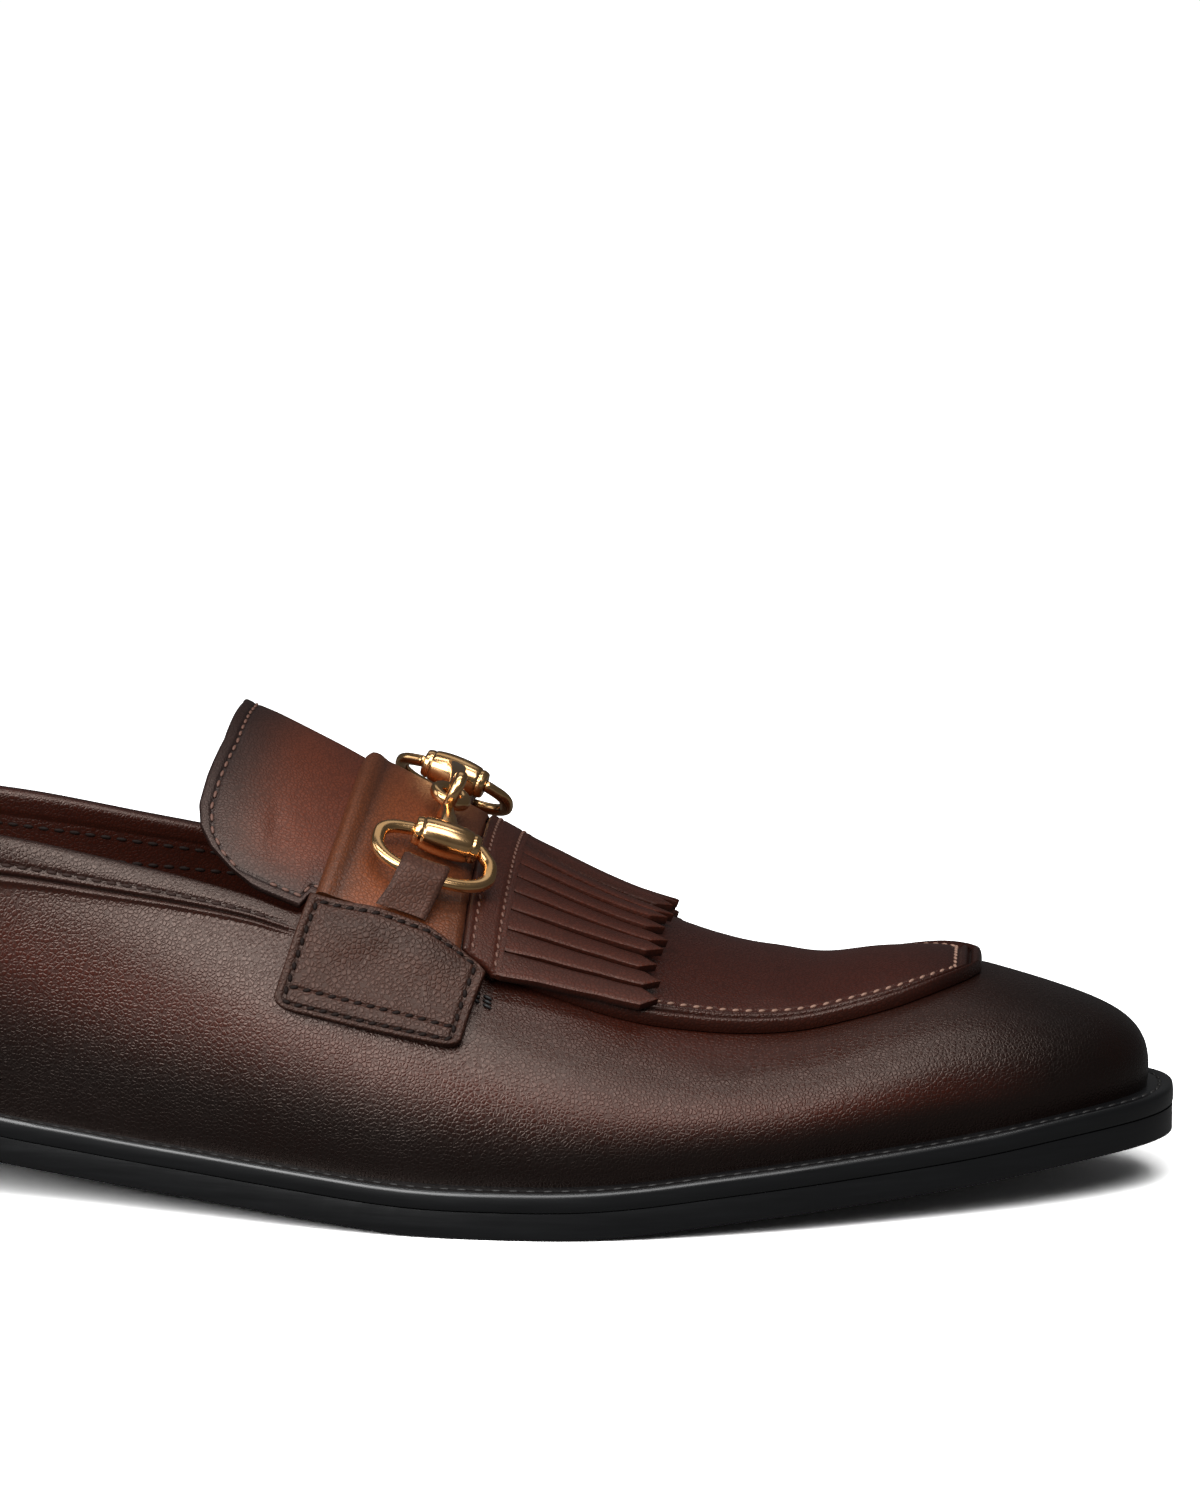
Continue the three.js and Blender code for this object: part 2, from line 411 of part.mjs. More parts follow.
// place on the line across the instep: v from -1 (lateral edge) over 0 (ridge) to 1
function across(edge, s, v, d) {
  const side = v < 0 ? -1 : 1, tb = edge(s);
  return at(side, s, 1 - Math.abs(v) * (1 - tb), d);
}
{ // tongue
  const edge = s => lin(TONGUE_EDGE, s / LENGTH), vs = [1, .93, .84, .72, .58, .43, .28, .13, 0];
  const V2 = [...vs.map(v => -v), ...[...vs].reverse().slice(1)];
  const U = [0, .1, .22, .36, .5, .64, .8, 1], top = [], bot = [];
  for (const v of V2) {
    const back = LENGTH * lin(TONGUE_BACK, 1 - Math.abs(v)), rt = [], rb = [];
    for (const u of U) {
      const s = back + u * (THROAT.tongue - back);
      rt.push(across(edge, s, v, u === 0 ? GAP + LAY - .25 : GAP + LAY)); rb.push(across(edge, s, v, GAP));
    }
    top.push(rt); bot.push(rb);
  }
  add('tongue', sheet(top, bot).geometry(), 'calf_grey');
}
{ // saddle band over the tongue, its back edge rolled
  const edge = s => curve(TAB_TOP, s / LENGTH) + .008, top = [], bot = [];
  const vs = [1, .88, .75, .6, .45, .3, .15, 0], V2 = [...vs.map(v => -v), ...[...vs].reverse().slice(1)];
  const U = [0, .05, .14, .24, .45, .7, .94, 1], H = [-.2, .25, .3, 0, 0, 0, 0, -.3];
  for (const v of V2) {
    const back = THROAT.bandBack - THROAT.bandWing * Math.abs(v) ** 2.4, rt = [], rb = [];
    U.forEach((u, k) => { const s = back + u * (THROAT.bandFront - back); rt.push(across(edge, s, v, BAND_TOP + H[k])); rb.push(across(edge, s, v, LAY2)); });
    top.push(rt); bot.push(rb);
  }
  add('saddle_band', sheet(top, bot).geometry(), 'calf_warm');
}
{ // kiltie: a head across the instep and strips cut into its front
  const edge = s => lin(KILTIE_EDGE, s / LENGTH);
  // equal lengths across, from the lateral to the medial lower edge
  const lines = s => {
    const tb = edge(s), pts = [[0, -1, tb]]; let len = 0, prev = at(-1, s, tb, 0);
    for (let k = 1; k <= 60; k++) { const t = tb + (1 - tb) * k / 60, p = at(-1, s, t, 0); len += p.distanceTo(prev); prev = p; pts.push([len, -1, t]); }
    for (let k = 1; k <= 60; k++) { const t = 1 - (1 - tb) * k / 60, p = at(1, s, t, 0); len += p.distanceTo(prev); prev = p; pts.push([len, 1, t]); }
    return { len, pts };
  };
  const place = (L, x, s, d) => {
    let i = 0; while (i + 2 < L.pts.length && x > L.pts[i + 1][0]) i++;
    const A = L.pts[i], B = L.pts[i + 1], f = Math.min(1, Math.max(0, (x - A[0]) / (B[0] - A[0])));
    const side = B[1], ta = A[1] === B[1] ? A[2] : 1;
    return at(side, s, ta + (B[2] - ta) * f, d);
  };
  const run = THROAT.tip - THROAT.head, rows = [THROAT.kiltie, (THROAT.kiltie + THROAT.head) / 2, THROAT.head, ...[.165, .36, .56, .755, .905].map(f => THROAT.head + f * run)], top = [], bot = [];
  const rise = (k, s) => (TIP_LIFT + .3 * Math.sin(2.3 * k + 1)) * Math.max(0, (s - THROAT.free) / (THROAT.tip - THROAT.free)) ** 1.7;
  const open = s => smooth((s - THROAT.free) / (THROAT.tip - THROAT.free));
  const split = 2;
  rows.forEach((s, r) => {
    const L = lines(s), w = L.len / STRIPS, rt = [], rb = [];
    for (let k = 0; k < STRIPS; k++) for (const e of [0, 1]) {
      const slit = SLIT / 2 * (r <= split ? 1 : 1 + open(s));
      let x = (k + e) * w;
      if (k + e > 0 && k + e < STRIPS) x += e ? -slit : slit;
      const lift = r <= split ? 0 : rise(k, s);
      const tw = r <= split ? 0 : .18 * (e ? -1 : 1) * Math.sin(1.7 * k) * open(s);
      rt.push(place(L, x, s, LAY2 + LAY + lift + tw)); rb.push(place(L, x, s, LAY2 + lift + tw));
    }
    top.push(rt); bot.push(rb);
  });
  const T = new Tri(), n = rows.length - 1;
  sheet(top, bot, (i, j) => i < split || (j % 2 === 0 && i < n), T);
  // pointed ends: the end wall of each strip is replaced by a short wedge
  const key = p => Math.round(p.x * 2e3) + ',' + Math.round(p.y * 2e3) + ',' + Math.round(p.z * 2e3);
  for (let k = 0; k < STRIPS; k++) {
    const j = 2 * k, A = top[n][j], B = top[n][j + 1], a = bot[n][j], b = bot[n][j + 1];
    const ids = new Set([A, B, a, b].map(p => T.key.get(key(p))));
    T.tri = T.tri.filter(t => !(ids.has(t[0]) && ids.has(t[1]) && ids.has(t[2])));
    const s = THROAT.tip + .6 * Math.sin(1.9 * k + .6), L = lines(s), x = (k + .5) * L.len / STRIPS;
    const lift = rise(k, s);
    const C = place(L, x, s, LAY2 + LAY + lift - .15), c = place(L, x, s, LAY2 + lift);
    T.t(A, C, B); T.t(a, b, c); T.quad(A, a, c, C); T.quad(B, C, c, b);
  }
  add('kiltie', T.geometry(), 'calf');
}
for (const [side, nm] of [[-1, 'lateral'], [1, 'medial']]) { // side tabs
  const us = [0, .065, .16, .28, .42, .56, .7, .84, .935, 1], vs = [0, .1, .2, .34, .48, .62, .76, .88, .96, 1], top = [], bot = [];
  us.forEach((u, i) => {
    const rt = [], rb = [];
    vs.forEach((v, j) => {
      const sl = (.5037 + .0166 * v) * LENGTH, sr = (.6075 + .0099 * v) * LENGTH;
      let s = sl + u * (sr - sl);
      const tt = lin(TAB_TOP, s / LENGTH), t0 = lin(TAB_FOOT, s / LENGTH);
      let vv = v;
      // rounded lower corners
      if (v === 0 && (i === 0 || i === us.length - 1)) { vv = .032; s += i ? -.75 : .75; }
      const t = t0 + vv * (tt - t0);
      const k = 1.4 - Math.abs(s - .5705 * LENGTH) / (1.1 * KEEPER_W);
      const rise = .5 + (BAND_TOP - 1.5) * smooth((v - .30) / .66) + 1.25 * KEEPER_T * smooth(k) * smooth((v - .45) / .5);
      const edgeIn = (i === 0 || j === 0 || i === us.length - 1) ? .25 : 0;
      rt.push(at(side, s, t, GAP + TAB_T + rise - edgeIn)); rb.push(at(side, s, t, GAP));
    });
    top.push(rt); bot.push(rb);
  });
  add('tab_' + nm, sheet(top, bot).geometry(), 'calf_grey');
}

// ---------------------------------------------------------------- snaffle bit
// round or flattened bar along a closed or open path; frames from a plane normal
function tube(path, up, rw, rh, sides, closed) {
  const T = new Tri(), n = path.length, rings = [];
  for (let i = 0; i < n; i++) {
    const a = path[closed ? (i + n - 1) % n : Math.max(0, i - 1)], b = path[closed ? (i + 1) % n : Math.min(n - 1, i + 1)];
    const d = b.clone().sub(a).normalize(), w = up.clone().cross(d).normalize(), h = d.clone().cross(w);
    const W = typeof rw === 'function' ? rw(i / (closed ? n : n - 1)) : rw, Hh = typeof rh === 'function' ? rh(i / (closed ? n : n - 1)) : rh;
    const ring = [];
    for (let k = 0; k < sides; k++) {
      const c = 2 * Math.PI * (k + .5) / sides;
      ring.push(path[i].clone().addScaledVector(w, W * Math.cos(c)).addScaledVector(h, Hh * Math.sin(c)));
    }
    rings.push(ring);
  }
  const m = closed ? n : n - 1;
  for (let i = 0; i < m; i++) for (let k = 0; k < sides; k++) {
    const A = rings[i], B = rings[(i + 1) % n], l = (k + 1) % sides;
    T.quad(A[k], A[l], B[l], B[k]);
  }
  if (!closed) for (const [r, f] of [[rings[0], 1], [rings[n - 1], 0]]) {
    const c = V(0, 0, 0); r.forEach(p => c.addScaledVector(p, 1 / sides));
    for (let k = 0; k < sides; k++) { const l = (k + 1) % sides; f ? T.t(c, r[l], r[k]) : T.t(c, r[k], r[l]); }
  }
  return T;
}
// a body turned about an axis
function lathe(O, axis, ref, prof, sides) {
  const T = new Tri(), u = ref.clone(), w = axis.clone().cross(u).normalize();
  const rings = prof.map(([x, r]) => {
    const ring = [];
    for (let k = 0; k < sides; k++) { const c = 2 * Math.PI * k / sides; ring.push(O.clone().addScaledVector(axis, x).addScaledVector(u, r * Math.cos(c)).addScaledVector(w, r * Math.sin(c))); }
    return ring;
  });
  for (let i = 0; i + 1 < rings.length; i++) for (let k = 0; k < sides; k++) { const l = (k + 1) % sides; T.quad(rings[i][k], rings[i][l], rings[i + 1][l], rings[i + 1][k]); }
  for (const [r, x, f] of [[rings[0], prof[0][0], 1], [rings[rings.length - 1], prof[prof.length - 1][0], 0]]) {
    const c = O.clone().addScaledVector(axis, x);
    for (let k = 0; k < sides; k++) { const l = (k + 1) % sides; f ? T.t(c, r[l], r[k]) : T.t(c, r[k], r[l]); }
  }
  return T;
}
const BIT = {};
for (const [side, nm, tc, sta] of [[-1, 'lateral', .672, .582], [1, 'medial', .764, .5757]]) {
  const skew = side < 0 ? RING_SKEW : .2, S0 = sta * LENGTH, dp = BAND_TOP + RING_RISE, N = normalAt(side, S0, tc), O = at(side, S0, tc, dp);
  const w = at(side, S0, tc + .01, dp).sub(at(side, S0, tc - .01, dp)).normalize();
  w.addScaledVector(N, -w.dot(N)).normalize();
  const e = side < 0 ? w.clone().cross(N).normalize() : N.clone().cross(w).normalize();
  const P = (a, b, n) => O.clone().addScaledVector(e, a).addScaledVector(w, b).addScaledVector(N, n);
  BIT[nm] = { N, w, e, O, P };
  // the ring: an oval with a straight bar through the barrel
  const path = [], half = BARREL_L / 2 + GAP, n = 21;
  const c0 = (side < 0 ? .7 : .3) - skew;
  path.push([c0 - half, RING_B], [c0, RING_B], [c0 + half, RING_B]);
  for (let i = 0; i <= n; i++) {
    const f = i / n, tr = Math.acos(Math.min(.98, (c0 + half + .9) / RING_A)), tl = Math.acos(Math.max(-.98, (c0 - half - .9) / RING_A)), th = tr - f * (tr + 2 * Math.PI - tl);
    const c = Math.cos(th), s = Math.sin(th), m = s > 0 ? 3.2 : 2.25;
    path.push([RING_A * Math.sign(c) * Math.abs(c) ** (2 / m), RING_B * Math.sign(s) * Math.abs(s) ** (2 / m)]);
  }
  const pts = path.map(([a, b]) => P(a + skew, b, 0));
  const inBar = i => i < 3;
  const np = path.length;
  const ring = tube(pts, N, f => inBar(Math.round(f * np)) ? BAR_R : RING_W, f => inBar(Math.round(f * np)) ? BAR_R : RING_T, 8, true);
  add('bit_ring_' + nm, ring.geometry(), 'gold');
  // keeper: a leather loop over the outer arc of the ring, its end at the tab
  const KS = s => curve(TAB_TOP, s / LENGTH) + .009;
  const kc = f => (.5685 + .0072 * f) * LENGTH, hw = KEEPER_W / 2, kt = KEEPER_T / 2, cols = 4;
  const sag = x => RING_B - RING_B * (1 - (Math.abs(x) / RING_A) ** 2.25) ** (1 / 2.25);
  const top = [], bot = [];
  for (let c = 0; c <= cols; c++) {
    const o = (c / cols * 2 - 1) * hw, rt = [], rb = [];
    const s0 = kc(0) + o, base = at(side, s0, KS(s0), BAND_TOP + .9 + kt), rel = base.clone().sub(O);
    const a0_ = rel.dot(e), b0_ = rel.dot(w), n0_ = rel.dot(N);
    const up = RING_T + kt + .34, q = RING_B + RING_W, r = RING_B - RING_W; // outer and inner edge of the ring
    const prof = [[b0_, n0_], [-q - 2.2, -.3], [-q - 1.2, up - .92], [-q - .2, up], [.1 - RING_B, up + .23],
      [.2 - r, up + .03], [kt + .5 - r, up - .8], [kt + .6 - r, -.6], [kt + .5 - r, -1.7]];
    const ac = k => k === 0 ? a0_ : (kc(.55 + .45 * Math.min(1, k / 5)) - S0) * 1.02 + o;
    for (let k = 1; k < prof.length; k++) prof[k][0] += sag(ac(k) - skew) * (k === 1 ? .5 : k > 4 ? 1.12 : 1);
    for (let k = 0; k < prof.length; k++) {
      const p = prof[k], a = prof[Math.max(0, k - 1)], b = prof[Math.min(prof.length - 1, k + 1)];
      let db = b[0] - a[0], dn = b[1] - a[1]; const l = Math.hypot(db, dn); db /= l; dn /= l;
      const th = k === 0 ? [0, kt] : [-dn * kt, db * kt];
      rt.push(P(ac(k), p[0] + th[0], p[1] + th[1])); rb.push(P(ac(k), p[0] - th[0], p[1] - th[1]));
    }
    top.push(rt); bot.push(rb);
  }
  add('keeper_' + nm, sheet(top, bot).geometry(), 'calf_tan');
}
{ // barrels with shanks and linked eyes
  const bore = BAR_R + BORE_GAP, e0 = BARREL_L / 2;
  const prof = [[-e0, .76], [-e0 + .3, .85], [-.19 * BARREL_L, 1], [.19 * BARREL_L, 1], [e0 - .3, .85], [e0, .76]].map(([x, r]) => [x, r * BARREL_R]);
  const L = BIT.lateral, M = BIT.medial;
  const eyeS = .5803 * LENGTH, tA = .850, dA = BAND_TOP + EYE_R + EYE_T + .35;
  const NA = normalAt(-1, eyeS, tA), A = at(-1, eyeS, tA, dA);
  const wA = at(-1, eyeS, tA + .01, dA).sub(at(-1, eyeS, tA - .01, dA)).normalize();
  wA.addScaledVector(NA, -wA.dot(NA)).normalize();
  const eA = wA.clone().cross(NA).normalize();
  const B = A.clone().addScaledVector(wA, EYE_R).addScaledVector(NA, -.15);
  // lateral half: upright eye in the plane of the shank
  const loopA = [], loopB = [], n = 14;
  for (let i = 0; i < n; i++) {
    const c = 2 * Math.PI * i / n;
    loopA.push(A.clone().addScaledVector(wA, EYE_R * Math.cos(c)).addScaledVector(NA, EYE_H * (1 + Math.sin(c)) - EYE_R));
    loopB.push(B.clone().addScaledVector(wA, EYE_R * Math.cos(c)).addScaledVector(eA, EYE_R * Math.sin(c)));
  }
  for (const [nm, fr, loop, up, from] of [['lateral', L, loopA, eA, -1], ['medial', M, loopB, NA, 1]]) {
    const O = fr.P(from < 0 ? .7 : .3, RING_B, 0);
    const barrel = toManifold(lathe(O, fr.e, fr.N, prof, 16).geometry());
    const hole = toManifold(lathe(O, fr.e, fr.N, [[-e0 - 2, bore], [e0 + 2, bore]], 10).geometry());
    const end = (from < 0 ? A : B).clone().addScaledVector(wA, from * EYE_R);
    const start = O.clone().addScaledVector(fr.w, .7 * BARREL_R).addScaledVector(fr.N, .13 * BARREL_R);
    const path = []; const K = 5;
    for (let i = 0; i <= K; i++) {
      const f = i / K, p = start.clone().lerp(end, f);
      const mid = fr.N.clone().lerp(NA, f).normalize();
      p.addScaledVector(mid, (from < 0 ? .25 : 1.3) * Math.sin(Math.PI * f));
      path.push(p);
    }
    const shank = toManifold(tube(path, NA, f => 1.75 - .75 * smooth(f * 1.15), f => 1.0 - .12 * f, 7, false).geometry());
    const eye = toManifold(tube(loop, up, EYE_T, EYE_T, 7, true).geometry());
    add('bit_bar_' + nm, fromManifold(barrel.add(shank).subtract(hole).add(eye)), 'gold');
  }
}
let total = 0;
group.traverse(o => { if (o.isMesh) { const n = o.geometry.getIndex().count / 3; total += n; o.userData.triangles = n; } });
group.userData.triangles = total;
export default group;
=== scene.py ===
# Kiltie loafer with snaffle bit, right shoe: leather pieces laid on the last, stitches, sole, bit, light and camera.
import math

import bpy
import numpy as np
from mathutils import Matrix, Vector


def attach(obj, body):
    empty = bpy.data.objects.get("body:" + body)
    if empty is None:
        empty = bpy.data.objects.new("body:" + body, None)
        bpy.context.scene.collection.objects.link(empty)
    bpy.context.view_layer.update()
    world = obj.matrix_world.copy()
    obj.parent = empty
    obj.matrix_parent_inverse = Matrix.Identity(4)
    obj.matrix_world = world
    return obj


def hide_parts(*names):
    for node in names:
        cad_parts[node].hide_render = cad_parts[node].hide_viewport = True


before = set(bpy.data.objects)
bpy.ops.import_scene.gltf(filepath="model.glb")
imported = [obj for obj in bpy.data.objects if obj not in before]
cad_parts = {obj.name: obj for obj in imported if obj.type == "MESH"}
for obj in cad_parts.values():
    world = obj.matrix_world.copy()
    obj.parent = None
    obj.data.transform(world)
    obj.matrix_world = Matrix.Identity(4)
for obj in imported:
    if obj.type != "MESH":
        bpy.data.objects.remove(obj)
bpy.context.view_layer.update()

# ------------------------------------------------------------------ sizes in mm, stations from the back of the sole
LENGTH, WIDTH, CONE_H, COLLAR_H, HEEL_H, SPRING = 305.0, 104.0, 115.0, 83.0, 20.5, 9.1
OUTSOLE_T, WELT_T, WELT_W, LIFT_T, INSOLE_T = 4.5, 3.2, 4.8, 6.0, 6.0
WALL, LAY, BAND_T, TAB_T, GAP, TILT, TOE_SLOPE = 2.2, 1.6, 1.2, 1.5, 0.3, 0.028, -0.27
ORIGIN, HEEL_C, TOE_C, BREAST = 0.1246 * LENGTH, 0.1115 * LENGTH, 0.8918 * LENGTH, 0.2426 * LENGTH
SOLE_T = OUTSOLE_T + GAP + WELT_T
LAY2 = GAP + LAY + GAP
BAND_TOP = LAY2 + BAND_T
STRIPS, SLIT = 15, 0.34
# shares of the mesh columns given to heel end, side and toe end
HEEL_PART, SIDE_PART, TOE_PART, TOE_FROM = 0.16, 0.70, 0.14, 0.86
SHEET_WELD, TUBE_WELD = 0.00001, 0.000004                             # m

# tables in shares of the sizes above
OUT = [[.1115, .3317, .3317], [.1967, .3269, .3029], [.2787, .3192, .2615], [.3607, .3413, .25],
       [.4426, .4038, .2885], [.5246, .4712, .3606], [.6066, .5144, .4346], [.6721, .5192, .4788],
       [.7279, .4952, .4808], [.7869, .4481, .4462], [.8393, .3885, .3846], [.8918, .3212, .3144]]
BOT = [[0, 1, 0], [.1115, .893, 0], [.1967, .78, 0], [.2525, .654, 0], [.3016, .498, 0], [.3475, .356, 0],
       [.4033, .254, 0], [.4623, .171, 0], [.518, .093, 0], [.5639, .027, 0], [.58, .0115, 0], [.5967, .0028, 0],
       [.6131, 0, 0], [.6525, 0, 0], [.6689, 0, .0105], [.685, 0, .031], [.7016, 0, .068], [.7508, 0, .231],
       [.8164, 0, .418], [.882, 0, .615], [.9475, 0, .879], [1, 0, 1]]
MAR = [[0, .417], [.1967, .417], [.2951, .458], [.3934, .583], [.4918, .792], [.5902, .958], [.7541, 1], [1, .958]]
RID = [[.1115, 0, 1, .86, .5, .0385], [.1967, .0048, 1, .84, .5, .0337], [.2951, .0192, .9304, .76, .5, .0337],
       [.3607, .0385, .8348, .7, .5, .0337], [.4262, .0577, .7409, .66, .5, .0385],
       [.4918, .0692, .6557, .64, .5, .0433], [.541, .0712, .5878, .62, .5, .0462],
       [.5902, .0673, .5183, .6, .5, .0481], [.6393, .0596, .447, .6, .5, .0442], [.6885, .05, .38, .62, .5, .0404],
       [.7377, .0385, .3304, .64, .5, .0346], [.7869, .0269, .307, .66, .52, .0288],
       [.8393, .0135, .32, .7, .55, .0231], [.8656, .0077, .3235, .71, .6, .0212],
       [.8918, .0038, .3157, .72, .66, .0192]]
TOPLINE = [[-.0393, 1.0072], [0, 1], [.0328, .9831], [.0656, .9566], [.1049, .9181], [.1508, .8747], [.1967, .8361],
           [.2459, .8048], [.2951, .7795], [.3475, .7566], [.4066, .7145], [.4492, .6819], [.4852, .6494],
           [.5148, .6145], [.5279, .6193], [.541, .653], [.5541, .706], [.5639, .7651], [.5685, .8434]]
APRON_EDGE = [[.623, .52], [.6557, .526], [.7049, .535], [.7298, .552], [.7561, .568], [.7823, .588], [.8108, .612],
              [.837, .64], [.8525, .672], [.8656, .718], [.877, .785], [.8852, .858], [.8905, .93]]
TONGUE_EDGE = [[.4557, .5], [.4639, .496], [.4787, .489], [.4951, .485], [.5154, .485], [.5207, .518], [.541, .53],
               [.5574, .538], [.5836, .542], [.6033, .525], [.6148, .509], [.623, .502]]
TAB_TOP = [[.5115, .503], [.5213, .508], [.541, .517], [.5574, .525], [.5836, .529], [.6033, .512], [.6125, .499],
           [.617, .485]]
TAB_FOOT = [[.5049, .283], [.5161, .283], [.5574, .294], [.5967, .307], [.6098, .314]]
KILTIE_EDGE = [[.6033, .524], [.6131, .509], [.6177, .502], [.6207, .492], [.6262, .492], [.6459, .509],
               [.6777, .527], [.718, .528]]
TONGUE_BACK = [[0, .4902], [.03, .4754], [.07, .4643], [.13, .4577], [.22, .4557], [.36, .458], [.6, .4636],
               [1, .4669]]


def curve(table, x, column=1):
    """smooth curve through a table, straight past its ends"""
    X, Y = (np.array([row[c] for row in table], float) for c in (0, column))
    h = np.diff(X)
    d = np.diff(Y) / h
    m = np.concatenate(([d[0]], (d[:-1] * h[1:] + d[1:] * h[:-1]) / (h[:-1] + h[1:]), [d[-1]]))
    x = np.asarray(x, float)
    i = np.clip(np.searchsorted(X, x, side="right") - 1, 0, len(h) - 1)
    t = np.clip((x - X[i]) / h[i], 0, 1)
    y = ((2 * t**3 - 3 * t**2 + 1) * Y[i] + (t**3 - 2 * t**2 + t) * m[i] * h[i]
         + (3 * t**2 - 2 * t**3) * Y[i + 1] + (t**3 - t**2) * m[i + 1] * h[i])
    return y + np.minimum(x - X[0], 0) * m[0] + np.maximum(x - X[-1], 0) * m[-1]


def broken(table, x):
    """straight lines through a table"""
    return np.interp(x, [row[0] for row in table], [row[1] for row in table])


def smooth(x):
    """eases from 0 to 1"""
    x = np.clip(x, 0, 1)
    return x * x * (3 - 2 * x)


def unit(a):
    """vectors of length 1"""
    return a / np.maximum(np.linalg.norm(a, axis=-1, keepdims=True), 1e-12)


def hump(x, centre, width):
    """bell curve, 1 at its centre"""
    return np.exp(-((x - centre) / width) ** 2)


def runs(P):
    """length run at each point along a line of points, or along each of many lines"""
    step = np.linalg.norm(np.diff(P, axis=-2), axis=-1)
    return np.concatenate((np.zeros(step.shape[:-1] + (1,)), np.cumsum(step, axis=-1)), -1)


def nearest(u, n):
    """which of n + 1 grid lines a place from 0 to 1 is"""
    return np.rint(u * n).astype(int)


def side_of(v):
    """-1 on the lateral half, 1 on the medial one"""
    return np.where(v < 0, -1.0, 1.0)


# ------------------------------------------------------------------ the last and the sole's outline
def underside(x):
    """height of the sole's underside"""
    x = np.clip(x, 0, LENGTH)
    return np.maximum(0, HEEL_H * curve(BOT, x / LENGTH, 1) + SPRING * curve(BOT, x / LENGTH, 2))


def welt_width(x):
    """how far the welt stands out past the last"""
    return WELT_W * curve(MAR, np.asarray(x) / LENGTH)


def outline(side, q, inset):
    """the sole's outline drawn in by inset(x): q -1..0 heel end, 0..1 along the side, 1..2 toe end"""
    side, q = np.broadcast_arrays(np.asarray(side, float), np.asarray(q, float))
    s = HEEL_C + (TOE_C - HEEL_C) * np.clip(q, 0, 1)

    def half(x):
        return WIDTH * np.where(side < 0, curve(OUT, x / LENGTH, 1), curve(OUT, x / LENGTH, 2)) - inset(x)

    tip, heel, e = q > 1, q < 0, 1e-3
    th = np.where(tip, q - 1, np.where(heel, -q, 0)) * math.pi / 2
    w = half(s)
    k = np.where(tip, (half(s) - half(s - e)) / e, -(half(s + e) - half(s)) / e)
    reach = np.where(tip, LENGTH - inset(np.full_like(s, LENGTH)) - s, s - inset(np.zeros_like(s)))
    n = np.where(tip, 2.6, 2.15)
    c, sn = np.abs(np.sin(th)) ** (2 / n), np.abs(np.cos(th)) ** (2 / n)
    end = tip | heel
    x = np.where(end, s + np.where(tip, 1, -1) * reach * c, s)
    y = side * np.where(end, (w + k * reach * c) * sn, w)
    return x, y, s


def last(side, q, t):
    """a point of the last: t runs from 0 at the feather to 1 on the ridge"""
    side, q, t = np.broadcast_arrays(np.asarray(side, float), np.asarray(q, float), np.asarray(t, float))
    over, under = q > 2, q < -1
    side = np.where(over | under, -side, side)
    q = np.where(over, 4 - q, np.where(under, -2 - q, q))
    x, y, s = outline(side, q, welt_width)
    f = s / LENGTH
    ry, rz, sh = WIDTH * curve(RID, f, 1), CONE_H * curve(RID, f, 2), curve(RID, f, 3)
    sd, bulge = curve(RID, f, 4), WIDTH * curve(RID, f, 5)
    dx, dy = x - s, y - ry
    h = np.hypot(dx, dy)
    ux, uy = dx / h, dy / h
    zb = underside(x) + SOLE_T
    dz, rise = np.where(q > 1, TOE_SLOPE * ux, 0), rz - zb
    b0, b1, b2, b3 = (1 - t) ** 3, 3 * (1 - t) ** 2 * t, 3 * (1 - t) * t * t, t**3
    r = b0 * h + b1 * (h + bulge) + b2 * sh * h
    z = b0 * zb + b1 * (zb + sd * rise) + b2 * (rz + dz * sh * h) + b3 * rz
    return np.stack([s + r * ux, ry + r * uy, z], -1)


def surface(side, q, t, d):
    """the last with an offset d along its normal"""
    side, q, t, d = np.broadcast_arrays(*(np.asarray(a, float) for a in (side, q, t, d)))
    e = 1e-4
    dq = last(side, q + e, t) - last(side, q - e, t)
    dt = last(side, q, np.minimum(1, t + e)) - last(side, q, np.maximum(0, t - e))
    n = np.cross(dq, dt) * np.where(side > 0, -1, 1)[..., None]
    along = last(side, np.clip(q, 0, 1) + e, 1.0) - last(side, np.clip(q, 0, 1) - e, 1.0)
    ridge = np.stack([-along[..., 2], 0 * t, along[..., 0]], -1)
    ridge = np.where((q >= 1 - 1e-6)[..., None], [0.2, 0, 1], np.where((q <= 1e-6)[..., None], [0, 0, 1], ridge))
    n = unit(np.where((t > 1 - 1e-6)[..., None], ridge, n))
    return last(side, q, t) + n * d[..., None]


def q_of(s):
    """the outline's parameter at a station"""
    return (np.asarray(s, float) - HEEL_C) / (TOE_C - HEEL_C)


def at(side, s, t, d):
    """a point by station, height share and offset"""
    return surface(side, q_of(s), t, d)


def normal_at(side, s, t):
    """away from the last"""
    return unit(at(side, s, t, 1.0) - at(side, s, t, 0.0))


# ------------------------------------------------------------------ materials
def linear(code):
    """sRGB hex to linear colour"""
    rgb = [int(code[i:i + 2], 16) / 255 for i in (1, 3, 5)]
    return [c / 12.92 if c <= 0.04045 else ((c + 0.055) / 1.055) ** 2.4 for c in rgb] + [1.0]


def add(tree, kind, values=None, links=None, **settings):
    """adds a node: settings on the node, values on its inputs, links into its inputs"""
    n = tree.nodes.new(kind)
    for key, value in settings.items():
        setattr(n, key, value)
    for key, value in (values or {}).items():
        n.inputs[key].default_value = value
    for key, socket in (links or {}).items():
        tree.links.new(socket, n.inputs[key])
    return n


def material(name):
    """an empty material with its shader"""
    m = bpy.data.materials.new(name)
    m.use_nodes = True
    m.node_tree.nodes.clear()
    tree = m.node_tree
    shader = add(tree, "ShaderNodeBsdfPrincipled")
    add(tree, "ShaderNodeOutputMaterial", links={"Surface": shader.outputs[0]})
    return m, tree, shader


